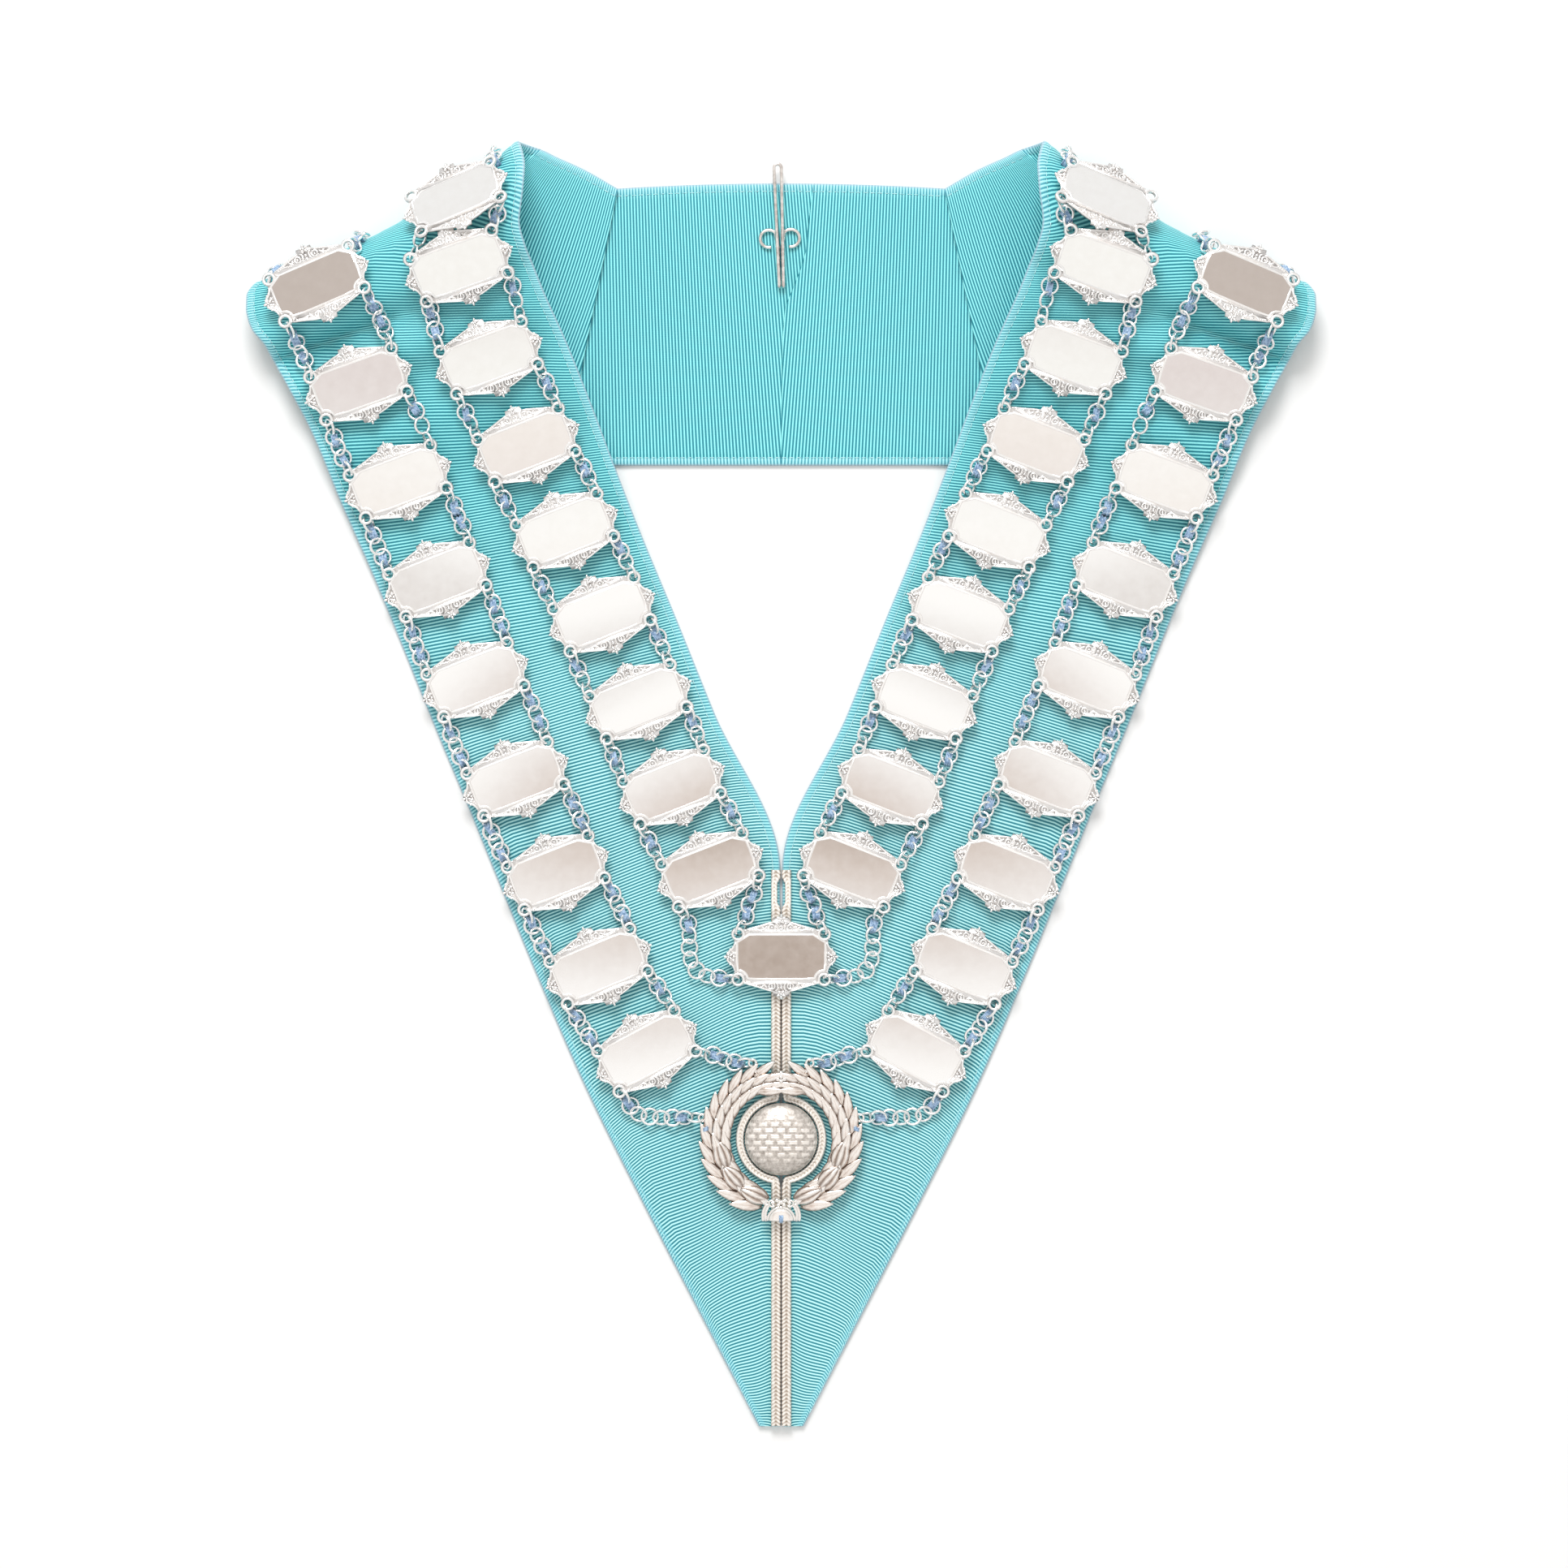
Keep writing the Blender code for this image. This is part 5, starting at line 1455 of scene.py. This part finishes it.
def make_braids(front):
    route = braid_route(front.notch_y / MM, height_up(WREATH_Y) / MM, Y_TIP / MM)
    travelled = distance_along(route[:, :2])
    stops = np.arange(0.0, travelled[-1], BRAID_STEP)
    smooth = Spline(travelled, route).at(stops)
    ahead = unit(np.gradient(smooth[:, :2], axis=0))
    side = np.column_stack([-ahead[:, 1], ahead[:, 0], np.zeros(len(stops))])
    section = [(-wide, tall) for wide, tall in reversed(BRAID_SECTION[1:])] + list(BRAID_SECTION)
    top = np.zeros((len(stops), len(section), 3))
    marks = np.zeros((len(stops), len(section), 2))
    for column, (wide, tall) in enumerate(section):
        twill = np.cos(2 * math.pi * (stops / TWILL_PITCH - abs(wide) * TWILL_SLANT))
        half = BRAID_WIDTH / 2 * smooth[:, 2] * (1.0 + 0.03 * (twill if abs(wide) > 0.95 else 0.0))
        top[:, column, :2] = smooth[:, :2]
        top[:, column] += side * (wide * half)[:, None]
        top[:, column, 2] = BRAID_THICKNESS * (0.45 + 0.5 * tall) + 0.16 * twill * min(1.0, tall * 2)
        marks[:, column, 0] = stops
        # painted highlight on the braid's crown and its twill ridges, painted shade at its sides and between
        # the ridges; painted light where it narrows, round the button and at the slot, against the shade
        # there
        painted_light_where_narrow = np.minimum(1.6 * (1.0 - smooth[:, 2]), 0.26)
        marks[:, column, 1] = 0.16 + 0.45 * tall + 0.35 * twill + painted_light_where_narrow
    bottom = top.copy()
    bottom[..., 2] = 0.0
    piece = Piece()
    piece.shell(top, bottom, marks)
    for hand, mirrored in HANDS:
        piece.make(f"metal_braid_{hand}", [LOOKS["braid"]], "braid", [f"braid_{hand}"],
                   matrix=in_mm(z=CLOTH + GAP), mirrored=mirrored)


def hook_half():
    """One half of the bent wire in mm, from its sewing curl to the middle of its top loop."""
    radius = HOOK_WIRE / 2
    low = radius
    high = low + HOOK_WIRE + GAP / MM
    strand = (HOOK_WIRE + GAP / MM) / 2
    top = HOOK_TOP_SPREAD / 2
    curl_y = HOOK_LENGTH * CURL_PLACE
    curl = arc((-strand - CURL_RADIUS, curl_y), CURL_RADIUS, CURL_START, CURL_START - CURL_SWEEP, 24)
    half = [(x, y, low) for x, y in curl] + [(-strand, curl_y - CURL_RADIUS, low)]
    bend = (high - low) / 2
    half += [(-strand, y, z) for y, z in arc((radius + bend, low + bend), bend, 270.0, 90.0, 9)]
    loop_y = HOOK_LENGTH - radius - top
    for share in (0.25, 0.5, 0.75):
        half.append((-strand + (strand - top) * share, bend + (loop_y - bend) * share, high))
    return half + [(x, y, high) for x, y in arc((0.0, loop_y), top, 180.0, 90.0, 8)]


def carried_sides(path):
    """Side vector at each point of a path, carried along without twist."""
    ahead = unit(np.gradient(path, axis=0))
    side = unit(np.cross(ahead[0], UP))
    sides = []
    for direction in ahead:
        side = unit(side - direction * np.dot(side, direction))
        sides.append(side)
    return np.array(sides)


def make_hook(front):
    half = hook_half()
    wire = np.array(half + [(-x, y, z) for x, y, z in reversed(half[:-1])])
    foot_y = front.panel[0][1] / MM + HOOK_PAST_EDGE - HOOK_LENGTH
    top = AHEAD * HOOK_LENGTH
    spin = np.array((polar(HOOK_TURN, 1.0), polar(HOOK_TURN + 90.0, 1.0), UP)).T
    wire = (wire - top) @ spin.T + np.array((-HOOK_ASIDE, foot_y, (CLOTH + GAP) / MM)) + top
    piece = Piece()
    piece.sweep(wire, carried_sides(wire), HOOK_WIRE / 2, sides=14)
    piece.make("wire_hook", [LOOKS["hook"]], "steel", ["hook"], matrix=in_mm())


def make_floor():
    corners = [(x * FLOOR_HALF, y * FLOOR_HALF, 0.0) for x, y in ((-1, -1), (1, -1), (1, 1), (-1, 1))]
    mesh = bpy.data.meshes.new("floor")
    mesh.from_pydata(corners, [], [[0, 1, 2, 3]])
    mesh.materials.append(LOOKS["floor"])
    add_object("floor", mesh)


def make_light():
    data = bpy.data.lights.new("key", "AREA")
    data.energy = KEY_POWER
    data.size = KEY_SIZE
    item = add_object("key", data)
    item.location = KEY_PLACE
    item.rotation_euler = (-Vector(KEY_PLACE)).to_track_quat("-Z", "Y").to_euler()


# The studio's sky: degrees from straight above, and the colour there. The camera side is darker.
SKY_REACH = 80.0
SKY = (
    (0.0, (0.62, 0.50, 0.425)), (0.9, (0.65, 0.53, 0.45)), (2.1, (1.02, 0.88, 0.79)),
    (3.1, (1.18, 1.11, 1.07)), (4.2, (1.55, 1.54, 1.51)), (5.0, (1.50, 1.49, 1.46)),
    (6.2, (1.07, 1.01, 0.97)), (10.0, (1.44, 1.43, 1.39)), (14.0, (1.30, 1.22, 1.15)),
    (20.0, (1.09, 0.99, 0.96)), (24.0, (1.36, 1.35, 1.30)), (32.0, (1.35, 1.33, 1.28)),
    (44.0, (1.08, 1.08, 1.08)), (60.0, (1.05, 1.05, 1.05)), (68.0, (1.26, 1.25, 1.23)),
    (80.0, (1.26, 1.25, 1.23)),
)
# brightness by height above the horizon, where the room goes dark
HORIZON = ((0.0, 0.15), (0.12, 0.35), (0.28, 1.0))
# a darker screen on each side, whose direction across and up the outer plates look at
SCREEN_X = 0.374
SCREEN_Y = 0.252
SCREEN_REACH = 0.13
SCREEN_EDGE = 1.35
SCREEN_STEEPNESS = 2.5
SCREEN_COLOR = (0.81, 0.71, 0.645)


def make_world():
    """Pale studio all round, darker by the camera, at two screens and along the horizon."""
    world = bpy.data.worlds.new("studio")
    world.use_nodes = True
    bpy.context.scene.world = world
    sky = Nodes(world.node_tree)
    x, y, z = sky.axes(sky.node("ShaderNodeTexCoord").outputs["Generated"])
    angle = sky.math("DIVIDE", sky.math("ARCCOSINE", z), math.radians(SKY_REACH))
    overhead = sky.ramp(angle, *[(degrees / SKY_REACH, color) for degrees, color in SKY])
    off_x = sky.math("SUBTRACT", sky.math("ABSOLUTE", x), SCREEN_X)
    off_y = sky.math("SUBTRACT", y, SCREEN_Y)
    away = sky.math("SQRT", sky.add(sky.times(off_x, off_x), sky.times(off_y, off_y)))
    inside = sky.math("SUBTRACT", SCREEN_EDGE, sky.math("DIVIDE", away, SCREEN_REACH))
    color = sky.mix(sky.clamped(sky.times(inside, SCREEN_STEEPNESS)), overhead, SCREEN_COLOR)
    fall = sky.ramp(z, *[(height, (level, level, level)) for height, level in HORIZON])
    background = world.node_tree.nodes["Background"]
    sky.link(sky.mix(1.0, color, fall, "MULTIPLY"), background.inputs["Color"])
    background.inputs["Strength"].default_value = SKY_STRENGTH


def make_camera():
    data = bpy.data.cameras.new("camera")
    data.sensor_width = 36.0
    data.sensor_fit = "HORIZONTAL"
    data.lens = data.sensor_width * (CAMERA_HEIGHT - CLOTH) / FRAME_WIDTH
    camera = add_object("camera", data)
    camera.location = (FRAME_SHIFT_X * FRAME_WIDTH, 0.0, CAMERA_HEIGHT)
    bpy.context.scene.camera = camera


front = Front()
fronts = make_fronts(front)
back = make_back(front)
poses = make_plates()
make_chains(front, poses)
make_wreath()
make_button()
make_braids(front)
make_hook(front)
make_floor()
make_world()
make_light()
make_camera()
bpy.context.scene.view_settings.view_transform = "Standard"
